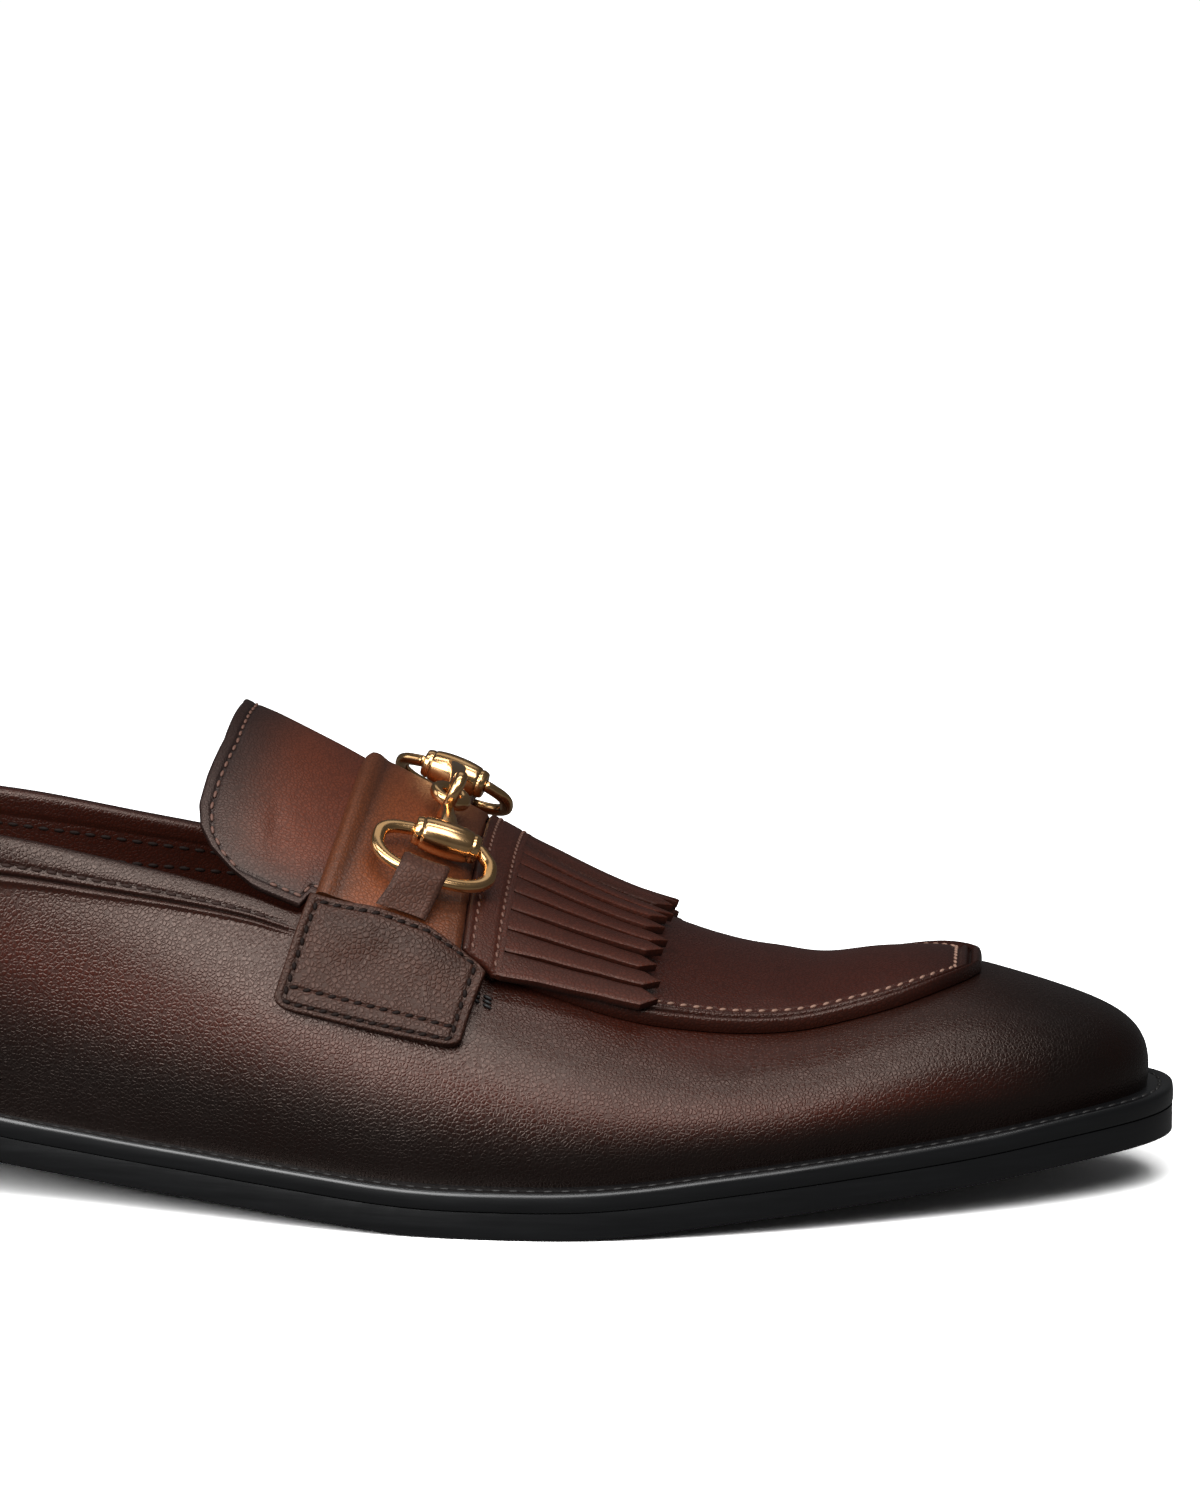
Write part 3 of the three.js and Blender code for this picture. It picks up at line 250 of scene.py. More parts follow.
def calf(name, deep, mid, warm, rough=0.4, grain=0.7, depth=0.055, shine=0.5):
    """Full-grain calf, hand burnished: dark by the burnish-and-shade mask, which holds wax rubbed in and also painted
    shade low on the sides, in grooves and beside raised edges; redder where wax was rubbed off (warm); grain is the
    pebble's width and depth its height in mm."""
    m, tree, shader = material(name)
    place = add(tree, "ShaderNodeTexCoord").outputs["Object"]
    burnish = add(tree, "ShaderNodeAttribute", attribute_name="burnish").outputs["Fac"]
    glow = add(tree, "ShaderNodeAttribute", attribute_name="warm").outputs["Fac"]
    cloud = add(tree, "ShaderNodeTexNoise", {"Scale": 1000 / 26, "Detail": 4, "Roughness": 0.6}, {"Vector": place})
    fleck = add(tree, "ShaderNodeTexNoise", {"Scale": 1000 / 3.2, "Detail": 5, "Roughness": 0.65}, {"Vector": place})
    # wear of the wax: the burnish-and-shade mask frays with the clouds
    shift = add(tree, "ShaderNodeMath", {1: 0.5, 2: -0.25}, {0: cloud.outputs["Fac"]}, operation="MULTIPLY_ADD")
    edge = add(tree, "ShaderNodeMath", None, {0: burnish, 1: shift.outputs[0]}, operation="ADD", use_clamp=True)
    red = add(tree, "ShaderNodeMath", None, {0: glow, 1: shift.outputs[0]}, operation="ADD", use_clamp=True)
    body = add(tree, "ShaderNodeMix", {6: linear(mid), 7: linear(warm)}, {0: red.outputs[0]}, data_type="RGBA")
    tone = add(tree, "ShaderNodeMix", {7: linear(deep)}, {0: edge.outputs[0], 6: body.outputs[2]}, data_type="RGBA")
    speck = add(tree, "ShaderNodeMapRange", {1: 0.3, 2: 0.7, 3: 0.9, 4: 1.08}, {0: fleck.outputs["Fac"]})
    colour = add(tree, "ShaderNodeMix", {0: 1.0}, {6: tone.outputs[2], 7: speck.outputs[0]}, data_type="RGBA",
                 blend_type="MULTIPLY")
    # pebble grain: cells bounded by fine creases, with pores
    cells = add(tree, "ShaderNodeTexVoronoi", {"Scale": 1000 / grain}, {"Vector": place}, feature="DISTANCE_TO_EDGE")
    crease = add(tree, "ShaderNodeMapRange", {1: 0.0, 2: 0.26, 3: 0.0, 4: 1.0}, {0: cells.outputs["Distance"]},
                 interpolation_type="SMOOTHSTEP")
    pores = add(tree, "ShaderNodeTexNoise", {"Scale": 1000 / 0.9, "Detail": 3, "Roughness": 0.5}, {"Vector": place})
    # darker in the grain's creases: partly dye gathered there, partly painted shade in them
    shade = add(tree, "ShaderNodeMapRange", {3: 0.66, 4: 1.06}, {0: crease.outputs[0]})
    grained = add(tree, "ShaderNodeMix", {0: 1.0}, {6: colour.outputs[2], 7: shade.outputs[0]}, data_type="RGBA",
                  blend_type="MULTIPLY")
    tree.links.new(grained.outputs[2], shader.inputs["Base Color"])
    relief = add(tree, "ShaderNodeMath", {1: 0.3}, {0: pores.outputs["Fac"], 2: crease.outputs[0]},
                 operation="MULTIPLY_ADD")
    bump = add(tree, "ShaderNodeBump", {"Strength": 0.6, "Distance": depth / 1000}, {"Height": relief.outputs[0]})
    tree.links.new(bump.outputs[0], shader.inputs["Normal"])
    gloss = add(tree, "ShaderNodeMapRange", {1: 0.2, 2: 0.8, 3: rough - 0.05, 4: rough + 0.09},
                {0: cloud.outputs["Fac"]})
    matt = add(tree, "ShaderNodeMapRange", {3: 0.1, 4: 0.0}, {0: crease.outputs[0]})
    dull = add(tree, "ShaderNodeMath", None, {0: gloss.outputs[0], 1: matt.outputs[0]}, operation="ADD")
    tree.links.new(dull.outputs[0], shader.inputs["Roughness"])
    shader.inputs["IOR"].default_value = 1.5
    shader.inputs["Specular IOR Level"].default_value = shine
    # brown wax warms the gloss
    shader.inputs["Specular Tint"].default_value = linear("#ffe8dc")
    return m


def plain(name, low, high, rough, size, depth, metallic=0.0, stretch=(1, 1, 1), coat=0.0, shine=0.5):
    """Anything of one substance: two tones mixed by a noise of the given size in mm, and its relief."""
    m, tree, shader = material(name)
    place = add(tree, "ShaderNodeTexCoord").outputs["Object"]
    turned = add(tree, "ShaderNodeMapping", {"Scale": stretch}, {"Vector": place})
    noise = add(tree, "ShaderNodeTexNoise", {"Scale": 1000 / size, "Detail": 4, "Roughness": 0.6},
                {"Vector": turned.outputs[0]})
    tone = add(tree, "ShaderNodeMix", {6: linear(low), 7: linear(high)}, {0: noise.outputs["Fac"]}, data_type="RGBA")
    tree.links.new(tone.outputs[2], shader.inputs["Base Color"])
    gloss = add(tree, "ShaderNodeMapRange", {1: 0.25, 2: 0.75, 3: rough * 0.85, 4: rough * 1.15},
                {0: noise.outputs["Fac"]})
    tree.links.new(gloss.outputs[0], shader.inputs["Roughness"])
    bump = add(tree, "ShaderNodeBump", {"Strength": 0.5, "Distance": depth / 1000}, {"Height": noise.outputs["Fac"]})
    tree.links.new(bump.outputs[0], shader.inputs["Normal"])
    shader.inputs["Metallic"].default_value = metallic
    shader.inputs["Specular IOR Level"].default_value = shine
    shader.inputs["Coat Weight"].default_value = coat
    shader.inputs["Coat Roughness"].default_value = 0.2
    return m


CALF = calf("burnished_calf", "#0f0706", "#2e140d", "#43180e", 0.25)
KILTIE_CALF = calf("kiltie_calf", "#150a08", "#3b1b12", "#54261a", 0.34)
WARM_CALF = calf("warm_calf", "#2c150d", "#64361f", "#7a3f21", 0.34)
GREY_CALF = calf("waxed_calf", "#221716", "#4f3026", "#63301f", 0.34)
TAB_CALF = calf("tab_calf", "#1a0e0b", "#38211a", "#46271c", 0.38, grain=0.8, depth=0.12, shine=0.4)
STRAP_CALF = calf("strap_calf", "#241612", "#4f3228", "#593324", 0.46, grain=0.8, depth=0.09, shine=0.35)
# glazed kid lining: smooth and dark
LINING = plain("kid_lining", "#120806", "#2c120b", 0.55, 2.0, 0.05)
SOCK = plain("sock_leather", "#3f281c", "#5a3b29", 0.55, 3.0, 0.05)
# inked and waxed leather edge: black, satin, with the faint lines that the edge iron leaves along it
EDGE = plain("inked_edge", "#070708", "#111214", 0.33, 1.2, 0.05, stretch=(0.08, 0.08, 1), coat=0.35)
RUBBER = plain("heel_rubber", "#0c0c0d", "#141415", 0.6, 0.8, 0.04)
# waxed linen thread
DARK_THREAD = plain("dark_thread", "#1d110d", "#38221a", 0.65, 0.3, 0.05, shine=0.25)
LIGHT_THREAD = plain("light_thread", "#7d5c4e", "#a58371", 0.6, 0.3, 0.05)
TAB_THREAD = plain("tab_thread", "#0f0806", "#20120d", 0.7, 0.3, 0.05, shine=0.2)
TONGUE_THREAD = plain("tongue_thread", "#54392f", "#7a5649", 0.6, 0.3, 0.05)
BLACK_THREAD = plain("black_thread", "#141313", "#2b2928", 0.5, 0.3, 0.05)
# cast and polished brass, gold plated
GOLD = plain("gold_plate", "#f2b873", "#f9cf9c", 0.19, 3.0, 0.004, metallic=1.0)


# ------------------------------------------------------------------ modelling helpers
def alone(obj):
    """selects one object"""
    bpy.ops.object.select_all(action="DESELECT")
    obj.select_set(True)
    bpy.context.view_layer.objects.active = obj


def edit(obj, *steps):
    """runs edit-mode operators on the whole mesh"""
    alone(obj)
    bpy.ops.object.mode_set(mode="EDIT")
    bpy.ops.mesh.select_all(action="SELECT")
    for step, options in steps:
        step(**options)
    bpy.ops.object.mode_set(mode="OBJECT")


def points_of(obj):
    """the mesh's points"""
    co = np.empty(len(obj.data.vertices) * 3)
    obj.data.vertices.foreach_get("co", co)
    return co.reshape(-1, 3)


def place_points(obj, P):
    """mm from the back of the sole to metres in the frame"""
    P = (np.asarray(P) - [ORIGIN, 0, 0]) / 1000
    obj.data.vertices.foreach_set("co", P.ravel())
    obj.data.update()


def stain(obj, **masks):
    """writes masks that the leather reads, from 0 to 1"""
    for key, values in masks.items():
        a = obj.data.attributes.new(key, "FLOAT", "POINT")
        a.data.foreach_set("value", np.clip(np.broadcast_to(values, len(obj.data.vertices)), 0, 1).astype(np.float32))


def finish(obj, looks, angle=40):
    """materials, shading and the body it rides on"""
    obj.data.materials.clear()
    for look in looks if isinstance(looks, (list, tuple)) else [looks]:
        obj.data.materials.append(look)
    alone(obj)
    bpy.ops.object.shade_smooth_by_angle(angle=math.radians(angle))
    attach(obj, "root")
    return obj


def grid(name, nu, nv, thick=True):
    """a flat sheet of leather with u and v from 0 to 1, and its second face at height 1"""
    bpy.ops.object.select_all(action="DESELECT")
    bpy.ops.mesh.primitive_grid_add(x_subdivisions=nu, y_subdivisions=nv, size=1, location=(0.5, 0.5, 0))
    bpy.ops.object.transform_apply()
    obj = bpy.context.object
    obj.name = obj.data.name = name
    if thick:
        edit(obj, (bpy.ops.mesh.extrude_region_move, {"TRANSFORM_OT_translate": {"value": (0, 0, 1)}}))
    return obj


def sheet(name, nu, nv, lay, looks, marks=None, angle=40, bevel=0):
    """lays a thick sheet: lay(u, v, top) gives its points, marks(u, v, top) its stains"""
    obj = grid(name, nu, nv)
    co = points_of(obj)
    u, v, top = co[:, 0], co[:, 1], co[:, 2] > 0.5
    place_points(obj, lay(u, v, top))
    stain(obj, **(marks(u, v, top) if marks else {"burnish": 0.0, "warm": 0.0}))
    edit(obj, (bpy.ops.mesh.remove_doubles, {"threshold": SHEET_WELD}), (bpy.ops.mesh.normals_make_consistent,
            {"inside": False}))
    if bevel:
        soften(obj, bevel)
    return finish(obj, looks, angle)


def soften(obj, width, segments=3, angle=50):
    """rounds the sharp edges"""
    alone(obj)
    b = obj.modifiers.new("edge", "BEVEL")
    b.width, b.segments, b.limit_method, b.angle_limit = width / 1000, segments, "ANGLE", math.radians(angle)
    bpy.ops.object.modifier_apply(modifier="edge")


def tube(name, nu, nv, lay, looks, angle=50):
    """a sheet rolled up: u runs round or along, v round the section"""
    obj = grid(name, nu, nv, thick=False)
    co = points_of(obj)
    place_points(obj, lay(co[:, 0], co[:, 1]))
    stain(obj, burnish=0.0, warm=0.0)
    edit(obj, (bpy.ops.mesh.remove_doubles, {"threshold": TUBE_WELD}), (bpy.ops.mesh.normals_make_consistent,
            {"inside": False}))
    return finish(obj, looks, angle)


def join(objs, name):
    """makes one object"""
    bpy.ops.object.select_all(action="DESELECT")
    for o in objs:
        o.select_set(True)
    bpy.context.view_layer.objects.active = objs[0]
    bpy.ops.object.join()
    objs[0].name = objs[0].data.name = name
    return objs[0]


def rounding(dist, r):
    """how far an edge of radius r has dropped at a distance from it"""
    k = 1 - np.clip(dist / r, 0, 1)
    return r * (1 - np.sqrt(np.maximum(0, 1 - k * k)))


def resample(P, step):
    """middle, direction and pitch of the stitches along a line of points"""
    run = runs(P)
    n = max(2, int(round(run[-1] / step)))
    mid = (np.arange(n) + 0.5) * run[-1] / n
    at_mid, ahead, back = (np.stack([np.interp(mid + o, run, P[:, k]) for k in range(3)], -1) for o in (0, 0.2, -0.2))
    return at_mid, unit(ahead - back), run[-1] / n


def stitches(name, rows, look, step=2.6, length=0.72, width=0.75, high=0.5, slant=0.0):
    """rows of (points, normals): a short thread bulges out of the leather between two holes"""
    bpy.ops.object.select_all(action="DESELECT")
    bpy.ops.mesh.primitive_uv_sphere_add(segments=8, ring_count=6, radius=0.5)
    obj = bpy.context.object
    obj.name = obj.data.name = name
    base = points_of(obj)
    faces = [tuple(p.vertices) for p in obj.data.polygons]
    verts, polys = [], []
    for path, normals in rows:
        mid, along, pitch = resample(path, step)
        n = unit(np.stack([np.interp(np.arange(len(mid)) / max(1, len(mid) - 1),
                                     np.linspace(0, 1, len(normals)), normals[:, k]) for k in range(3)], -1))
        across = unit(np.cross(n, along))
        for m, a, c, k in zip(mid, along, across, n):
            a2 = a * math.cos(slant) + c * math.sin(slant)
            c2 = c * math.cos(slant) - a * math.sin(slant)
            polys += [tuple(i + len(verts) * len(base) for i in f) for f in faces]
            verts.append(m + base[:, [0]] * a2 * length * pitch + base[:, [1]] * c2 * width + base[:, [2]] * k * high)
    mesh = bpy.data.meshes.new(name)
    mesh.from_pydata([tuple(p) for p in (np.concatenate(verts) - [ORIGIN, 0, 0]) / 1000], [], polys)
    old, obj.data = obj.data, mesh
    bpy.data.meshes.remove(old)
    return finish(obj, look, 180)


# ------------------------------------------------------------------ upper
LINE = np.array([[row[0] * LENGTH, row[1] * COLLAR_H] for row in TOPLINE])


def collar_line(x):
    """height of the collar line in the side view, the same spline as the solid's"""
    n, u = len(LINE) - 1, np.linspace(0, len(LINE) - 1, 600)
    k = np.minimum(n - 1, u.astype(int))
    g = u - k
    a, b, c, d = (LINE[np.clip(k + o, 0, n)] for o in (-1, 0, 1, 2))
    g = g[:, None]
    P = 0.5 * (2 * b + (c - a) * g + (2 * a - 5 * b + 4 * c - d) * g**2 + (3 * b - a - 3 * c + d) * g**3)
    return np.interp(x, P[:, 0], P[:, 1])


def collar_top(side, q):
    """parameter t of the collar line at each place, 1 where the vamp goes on to the ridge"""
    ts = np.linspace(0.05, 1, 260)
    P = surface(side[:, None], q[:, None], ts[None, :], 0)
    rise = P[..., 2] - (collar_line(P[..., 0]) - TILT * (P[..., 1] + 0.29 * WIDTH))
    rise[P[..., 0] > LINE[-1, 0]] = -1
    hit = rise > 0
    i = np.where(hit.any(1), hit.argmax(1), len(ts) - 1)
    i = np.maximum(i, 1)
    r0, r1 = rise[np.arange(len(i)), i - 1], rise[np.arange(len(i)), i]
    t = ts[i - 1] + (ts[i] - ts[i - 1]) * np.clip(-r0 / np.where(r1 > r0, r1 - r0, 1), 0, 1)
    return np.where(hit.any(1), t, 1.0)


def half_place(u):
    """once along one side of the foot: heel end, side, toe end"""
    side = np.where(u < TOE_FROM, (u - HEEL_PART) / SIDE_PART, 1 + (u - TOE_FROM) / TOE_PART)
    return np.where(u < HEEL_PART, -1 + u / HEEL_PART, side)


def ring_place(u):
    """once round the foot: heel, lateral side, toe, medial side, heel"""
    return np.where(u < 0.5, -1.0, 1.0), half_place(1 - np.abs(2 * u - 1))


def collar_band(s):
    """width of the stitched band along the collar"""
    return np.interp(s, [34, 105, 156], [7.5, 6.6, 3.6])


# rows from the collar down, in shares of the band's width, and the band's relief in mm
BAND = [[0, -.35], [.03, .1], [.09, .42], [.2, .55], [.35, .6], [.5, .6], [.62, .58], [.69, .5], [.74, .36],
        [.79, .34], [.84, .48], [.9, .55], [.95, .5], [.985, .36], [1.005, .02], [1.04, -.06], [1.08, .16],
        [1.13, .38], [1.18, .44], [1.23, .36], [1.29, .08], [1.36, 0], [1.6, 0]]
HALF_COLS, ROWS = 190, 60
cols = 2 * HALF_COLS


def lay_upper():
    """the upper's outer face: points, masks, shares of the collar band and height shares"""
    u = np.arange(cols + 1) / cols
    side, q = ring_place(u)
    top = collar_top(side, q)
    _, _, s = outline(side, q, welt_width)
    ts = np.linspace(0, 1, 240)[None, :] * top[:, None]
    P = surface(side[:, None], q[:, None], ts, 0)
    run = runs(P)
    down = run[:, -1:] - run                                  # distance below the collar
    shares = np.array([b[0] for b in BAND])
    width = collar_band(s)
    rest = ROWS + 1 - len(shares)
    head = shares * width[:, None]
    f = np.linspace(0, 1, rest + 1)[1:]
    want = np.concatenate((head, head[:, -1:] + (down[:, :1] - head[:, -1:]) * (0.55 * f + 0.45 * f**1.6)), 1)
    share = want / width[:, None]
    t = np.stack([np.interp(want[i], down[i, ::-1], ts[i, ::-1]) for i in range(cols + 1)])
    fade = (1 - smooth((s - 152) / 8))[:, None]
    d = np.interp(share, shares, [b[1] for b in BAND]) * fade
    # soft hollows: under the tongue's corner, ahead of the tab, over the ball, along the waist
    S, sd = (np.broadcast_to(a[:, None], t.shape) for a in (s, side))
    d = d - 0.35 * hump(S, 196, 7) * hump(t, 0.44, 0.06)
    d = d - 0.3 * hump(S - 30 * (t - 0.5), 232, 5) * hump(t, 0.47, 0.07)
    d = d + 0.25 * hump(S, 240, 6) * hump(t, 0.42, 0.09)
    d = d - 0.3 * hump(S, 128, 16) * hump(t, 0.22, 0.08)
    pts = surface(sd, q[:, None], t, d)
    # darker towards the feather: partly burnish, partly painted shade low on the side; darker towards the toe:
    # burnish
    dark = np.maximum(smooth((0.27 - t) / 0.2), smooth((S - 236) / 40) * 0.5 + smooth((pts[..., 0] - 262) / 28) * 0.5)
    # painted shade in the collar band's stitch groove
    dark = np.maximum(dark, 0.75 * hump(share, 0.78, 0.1) * fade)
    # painted shadow under the collar band's lower edge
    dark = np.maximum(dark, 0.8 * hump(share, 1.04, 0.05) * fade)
    dark = np.maximum(dark, 0.45 * smooth((0.75 - share) / 0.3) * fade)
    red = 0.9 * hump(t, 0.22, 0.08) + 0.5 * hump(S, 222, 30) * hump(t, 0.5, 0.09)
    return pts, dark, red, share, t


def upper():
    """outer face, wall, calf facing along the collar and lining"""
    pts, dark, red, below, tpar = lay_upper()
    obj = grid("upper_calf", cols, ROWS, thick=False)
    co = points_of(obj)
    i, j = nearest(co[:, 0], cols), nearest(co[:, 1], ROWS)
    place_points(obj, pts[i, j])
    stain(obj, burnish=dark[i, j], warm=red[i, j])
    stain(obj, round=(i % cols) / cols, down=j / ROWS)
    edit(obj, (bpy.ops.mesh.remove_doubles, {"threshold": SHEET_WELD}))
    # the outer face looks away from the foot
    me = obj.data
    mid = sum((p.normal.y * p.center.y for p in me.polygons if abs(p.normal.y) > 0.5), 0.0)
    if mid < 0:
        edit(obj, (bpy.ops.mesh.flip_normals, {}))
    alone(obj)
    wall = obj.modifiers.new("wall", "SOLIDIFY")
    wall.thickness, wall.offset, wall.material_offset = WALL / 1000, -1, 1
    me.materials.append(CALF)
    me.materials.append(LINING)
    outer = len(me.vertices)
    bpy.ops.object.modifier_apply(modifier="wall")
    # the inner face is drawn smooth: a calf facing along the collar, and the lining below it
    me = obj.data
    place = np.empty((2, len(me.vertices)))
    for k, key in enumerate(("round", "down")):
        me.attributes[key].data.foreach_get("value", place[k])
    i, j = nearest(place[0], cols) % cols, nearest(place[1], ROWS)
    share = below[i, j]
    proud = np.interp(share, [0, .04, .1, .2, .55, .62, .66, .7, .76, .85],
                      [-.45, -.1, .12, .25, .25, .22, .1, -.12, -.05, 0])
    co = points_of(obj)
    inner = np.arange(len(me.vertices)) >= outer
    sd, qq = ring_place(i[inner] / cols)
    co_in = surface(sd, qq, tpar[i, j][inner], -WALL - proud[inner])
    co[inner] = (co_in - [ORIGIN, 0, 0]) / 1000
    me.vertices.foreach_set("co", co.ravel())
    for key, value in (("burnish", .25), ("warm", .5)):
        old = np.empty(len(me.vertices), np.float32)
        me.attributes[key].data.foreach_get("value", old)
        old[inner] = value
        me.attributes[key].data.foreach_set("value", old)
    for p in me.polygons:
        if p.material_index == 1 and max(share[v] for v in p.vertices) < .7:
            p.material_index = 0
    me.update()
    finish(obj, [CALF, LINING], 50)
    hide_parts("upper")
    return obj


upper()

# rows of stitches: collar band outside, two rows in the lining, on both sides
BAND_STITCH = 0.78


def along_collar(side, s0, s1, share, d, n=260):
    """a line at a share of the collar band"""
    s = np.linspace(s0, s1, n)
    sides = np.full(n, float(side))
    top = collar_top(sides, q_of(s))
    ts = np.linspace(0, 1, 200)[None, :] * top[:, None]
    P = at(sides[:, None], s[:, None], ts, 0)
    run = runs(P)
    down = run[:, -1:] - run
    t = np.array([np.interp(share * collar_band(s[i]), down[i, ::-1], ts[i, ::-1]) for i in range(n)])
    return at(sides, s, t, d), normal_at(sides, s, t)


stitches("collar_stitches", [along_collar(side, 36, 152, BAND_STITCH, 0.42) for side in (-1, 1)], DARK_THREAD, 2.6)
inner = [along_collar(side, 36, 158, share, -WALL - 0.02) for side in (-1, 1) for share in (0.95, 1.7)]
stitches("lining_stitches", [(P, -N) for P, N in inner], TAB_THREAD, 2.8)


# ------------------------------------------------------------------ overlays on the upper
def across(edge, s, v, d):
    """v from -1 at the lateral edge over 0 on the ridge to 1 at the medial edge"""
    side = side_of(v)
    return at(side, s, 1 - np.abs(v) * (1 - edge(s)), d)


def dense_ends(x, k=0.75):
    """spreads places from 0 to 1 so that they lie closer together near both ends"""
    return x - k * np.sin(2 * math.pi * x) / (2 * math.pi)


def dense_start(x, k=0.7):
    """closer together near 0"""
    return x * (1 - k) + k * x * x


def apron():
    """moccasin apron with a bead and its seam"""
    face = GAP + LAY
    rim = [[0, -1.0], [.12, -.4], [.35, .15], [.7, .6], [1.15, .78], [1.6, .66], [1.95, .2], [2.2, -.4],
           [2.45, -.5], [2.7, -.3], [3.0, .22], [3.4, .45], [3.8, .36], [4.15, -.02], [4.5, -.28], [4.9, -.12],
           [5.6, -.16], [6.2, 0], [7.5, 0]]
    start, turn, end, fine, stitch, tip_stitch = .6243 * LENGTH, .83 * LENGTH, .8905 * LENGTH, 7.0, 5.5, 4.6

    def girth_at(s):
        """the edge's place and the mm from it to the ridge"""
        edge = curve(APRON_EDGE, s / LENGTH)
        return edge, 118 * (1 - edge) * np.interp(s, [190, 240, 272], [.78, .66, .52])

    def base(u, v):
        s = np.where(u < 0.5, start + u / 0.5 * (turn - start),
                     turn + (1 - (1 - (u - 0.5) / 0.5) ** 1.5) * (end - turn))
        side = np.where(v < 0.5, -1.0, 1.0)
        w = 1 - np.abs(2 * v - 1)                             # 0 at the edge, 1 on the ridge
        edge, girth = girth_at(s)
        rim_mm = np.minimum(fine, 0.6 * girth)                # the mesh is finest over the bead
        mm = np.where(w < 0.45, w / 0.45 * rim_mm, rim_mm + (w - 0.45) / 0.55 * np.maximum(0, girth - rim_mm))
        t = edge + (1 - edge) * np.clip(mm / girth, 0, 1)
        return s, side, t, np.minimum(mm, (end - s) * 1.1)

    def lay(u, v, top):
        s, side, t, near = base(u, v)
        d = np.where(top, face + broken(rim, near), GAP)
        # two soft waves where the vamp bends
        wave = 0.28 * hump(s, 236, 4.5) * smooth((near - 5) / 6) - 0.25 * hump(s, 246, 5) * smooth((near - 5) / 8)
        return at(side, s, t, d + np.where(top, wave, 0))

    def marks(u, v, top):
        s, side, t, near = base(u, v)
        # painted shade in the bead's two grooves
        grooves = 0.8 * hump(near, 2.35, 0.5) + 0.6 * hump(near, 4.6, 0.4)
        dark = np.maximum(grooves, 0.12 + 0.3 * smooth((s - 255) / 15))
        return {"burnish": dark, "warm": 0.35 + 0.4 * smooth((near - 3) / 3)}

    obj = sheet("apron_calf", 150, 150, lay, CALF, marks)
    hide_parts("apron")
    # the light thread on the inner side of the bead
    rows = []
    for side in (-1, 1):
        s = np.concatenate((np.linspace(205, 262, 90), np.linspace(262, end - tip_stitch, 50)[1:]))
        edge, girth = girth_at(s)
        t = edge + (1 - edge) * stitch / girth
        rows.append((at(side, s, t, face - 0.1), normal_at(side, s, t)))
    v, s = np.linspace(-1, 1, 40), end - tip_stitch
    t = 1 - np.abs(v) * (1 - float(girth_at(s)[0]) - .03)
    rows.append((at(side_of(v), s, t, face - 0.1), normal_at(side_of(v), s, t)))
    stitches("apron_stitches", rows, LIGHT_THREAD, 2.3, length=0.6, width=0.6, high=0.55, slant=0.25)


apron()


def tongue():
    """the tongue behind and under the band"""
    edge = lambda s: broken(TONGUE_EDGE, s / LENGTH)
    # front edge, distance of the stitches from the edge, half the girth
    front, ROW, HALF = .623 * LENGTH, 2.1, 55

    def base(u, v):
        v = 2 * dense_ends(v) - 1
        u = dense_start(u)
        back = LENGTH * broken(TONGUE_BACK, 1 - np.abs(v))
        s = back + u * (front - back)
        return s, v, np.minimum(u * (front - back), (1 - np.abs(v)) * HALF)

    def lay(u, v, top):
        s, v, near = base(u, v)
        groove = 0.25 * hump(near, ROW, 0.4) * (s < 161)
        swell = 0.18 * smooth((near - 2) / 4) * (1 - smooth((s - 158) / 8))
        d = np.where(top, GAP + LAY - rounding(near, 0.6) - groove + swell, GAP + rounding(near, 0.4) * 0.6)
        d = d - np.where(top, 0.35 * hump(s, 152, 1.6) * hump(np.abs(v), 0.72, 0.12), 0)
        return across(edge, s, v, d)

    def marks(u, v, top):
        s, v, near = base(u, v)
        # darker towards the edge (burnish); painted shade in the stitch groove; the cut edge dark
        dark = 0.85 * (1 - smooth((near - 0.5) / 12)) + 0.25 * hump(near, ROW, 0.5)
        return {"burnish": np.maximum(dark, 0.9 * (near < 0.4)), "warm": smooth((s - 143) / 13)}

    obj = sheet("tongue_calf", 120, 170, lay, GREY_CALF, marks)
    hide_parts("tongue")
    # one row of stitches all round its edge
    v = np.linspace(-1, 1, 260)
    v = v * (1 - ROW / HALF)
    back = LENGTH * broken(TONGUE_BACK, 1 - np.abs(v)) + ROW
    up = normal_at(side_of(v), back, 1 - np.abs(v) * (1 - edge(back)))
    rows = [(across(edge, back, v, GAP + LAY - 0.1), up)]
    for side in (-1, 1):
        s = np.linspace(.4902 * LENGTH + ROW, 163, 60)
        t = 1 - (1 - ROW / HALF) * (1 - edge(s))
        rows.append((at(side, s, t, GAP + LAY - 0.1), normal_at(side, s, t)))
    stitches("tongue_stitches", rows, TONGUE_THREAD, 2.4, length=0.66, width=0.6, high=0.5)


tongue()


def band():
    """the band under the bit, its back edge rolled"""
    edge = lambda s: curve(TAB_TOP, s / LENGTH) + .008
    front = .603 * LENGTH

    def base(u, v):
        v = 2 * v - 1
        back = .5348 * LENGTH - .0118 * LENGTH * np.abs(v) ** 2.4
        return back + dense_start(u, 0.75) * (front - back), v, back

    def lay(u, v, top):
        s, v, back = base(u, v)
        near = s - back
        roll = np.interp(near, [0, .15, .5, 1.1, 1.8, 2.6, 3.4, 4.4], [-1.0, -.55, .05, .32, .34, .12, -.06, 0])
        lip = rounding(front - s, 0.5)
        return across(edge, s, v, np.where(top, BAND_TOP + roll - lip, LAY2))

    def marks(u, v, top):
        s, v, back = base(u, v)
        near = s - back
        # painted shade in the dip behind the rolled edge; also darker at the edge and towards the front
        dark = 0.5 * hump(near, 3.4, 0.8) + 0.25 * hump(near, 0, 0.8) + 0.35 * smooth((s - 178) / 6)
        return {"burnish": dark, "warm": smooth((near - 3) / 5) * (1 - smooth((s - 176) / 8))}

    obj = sheet("band_calf", 60, 150, lay, WARM_CALF, marks)
    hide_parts("saddle_band")


band()


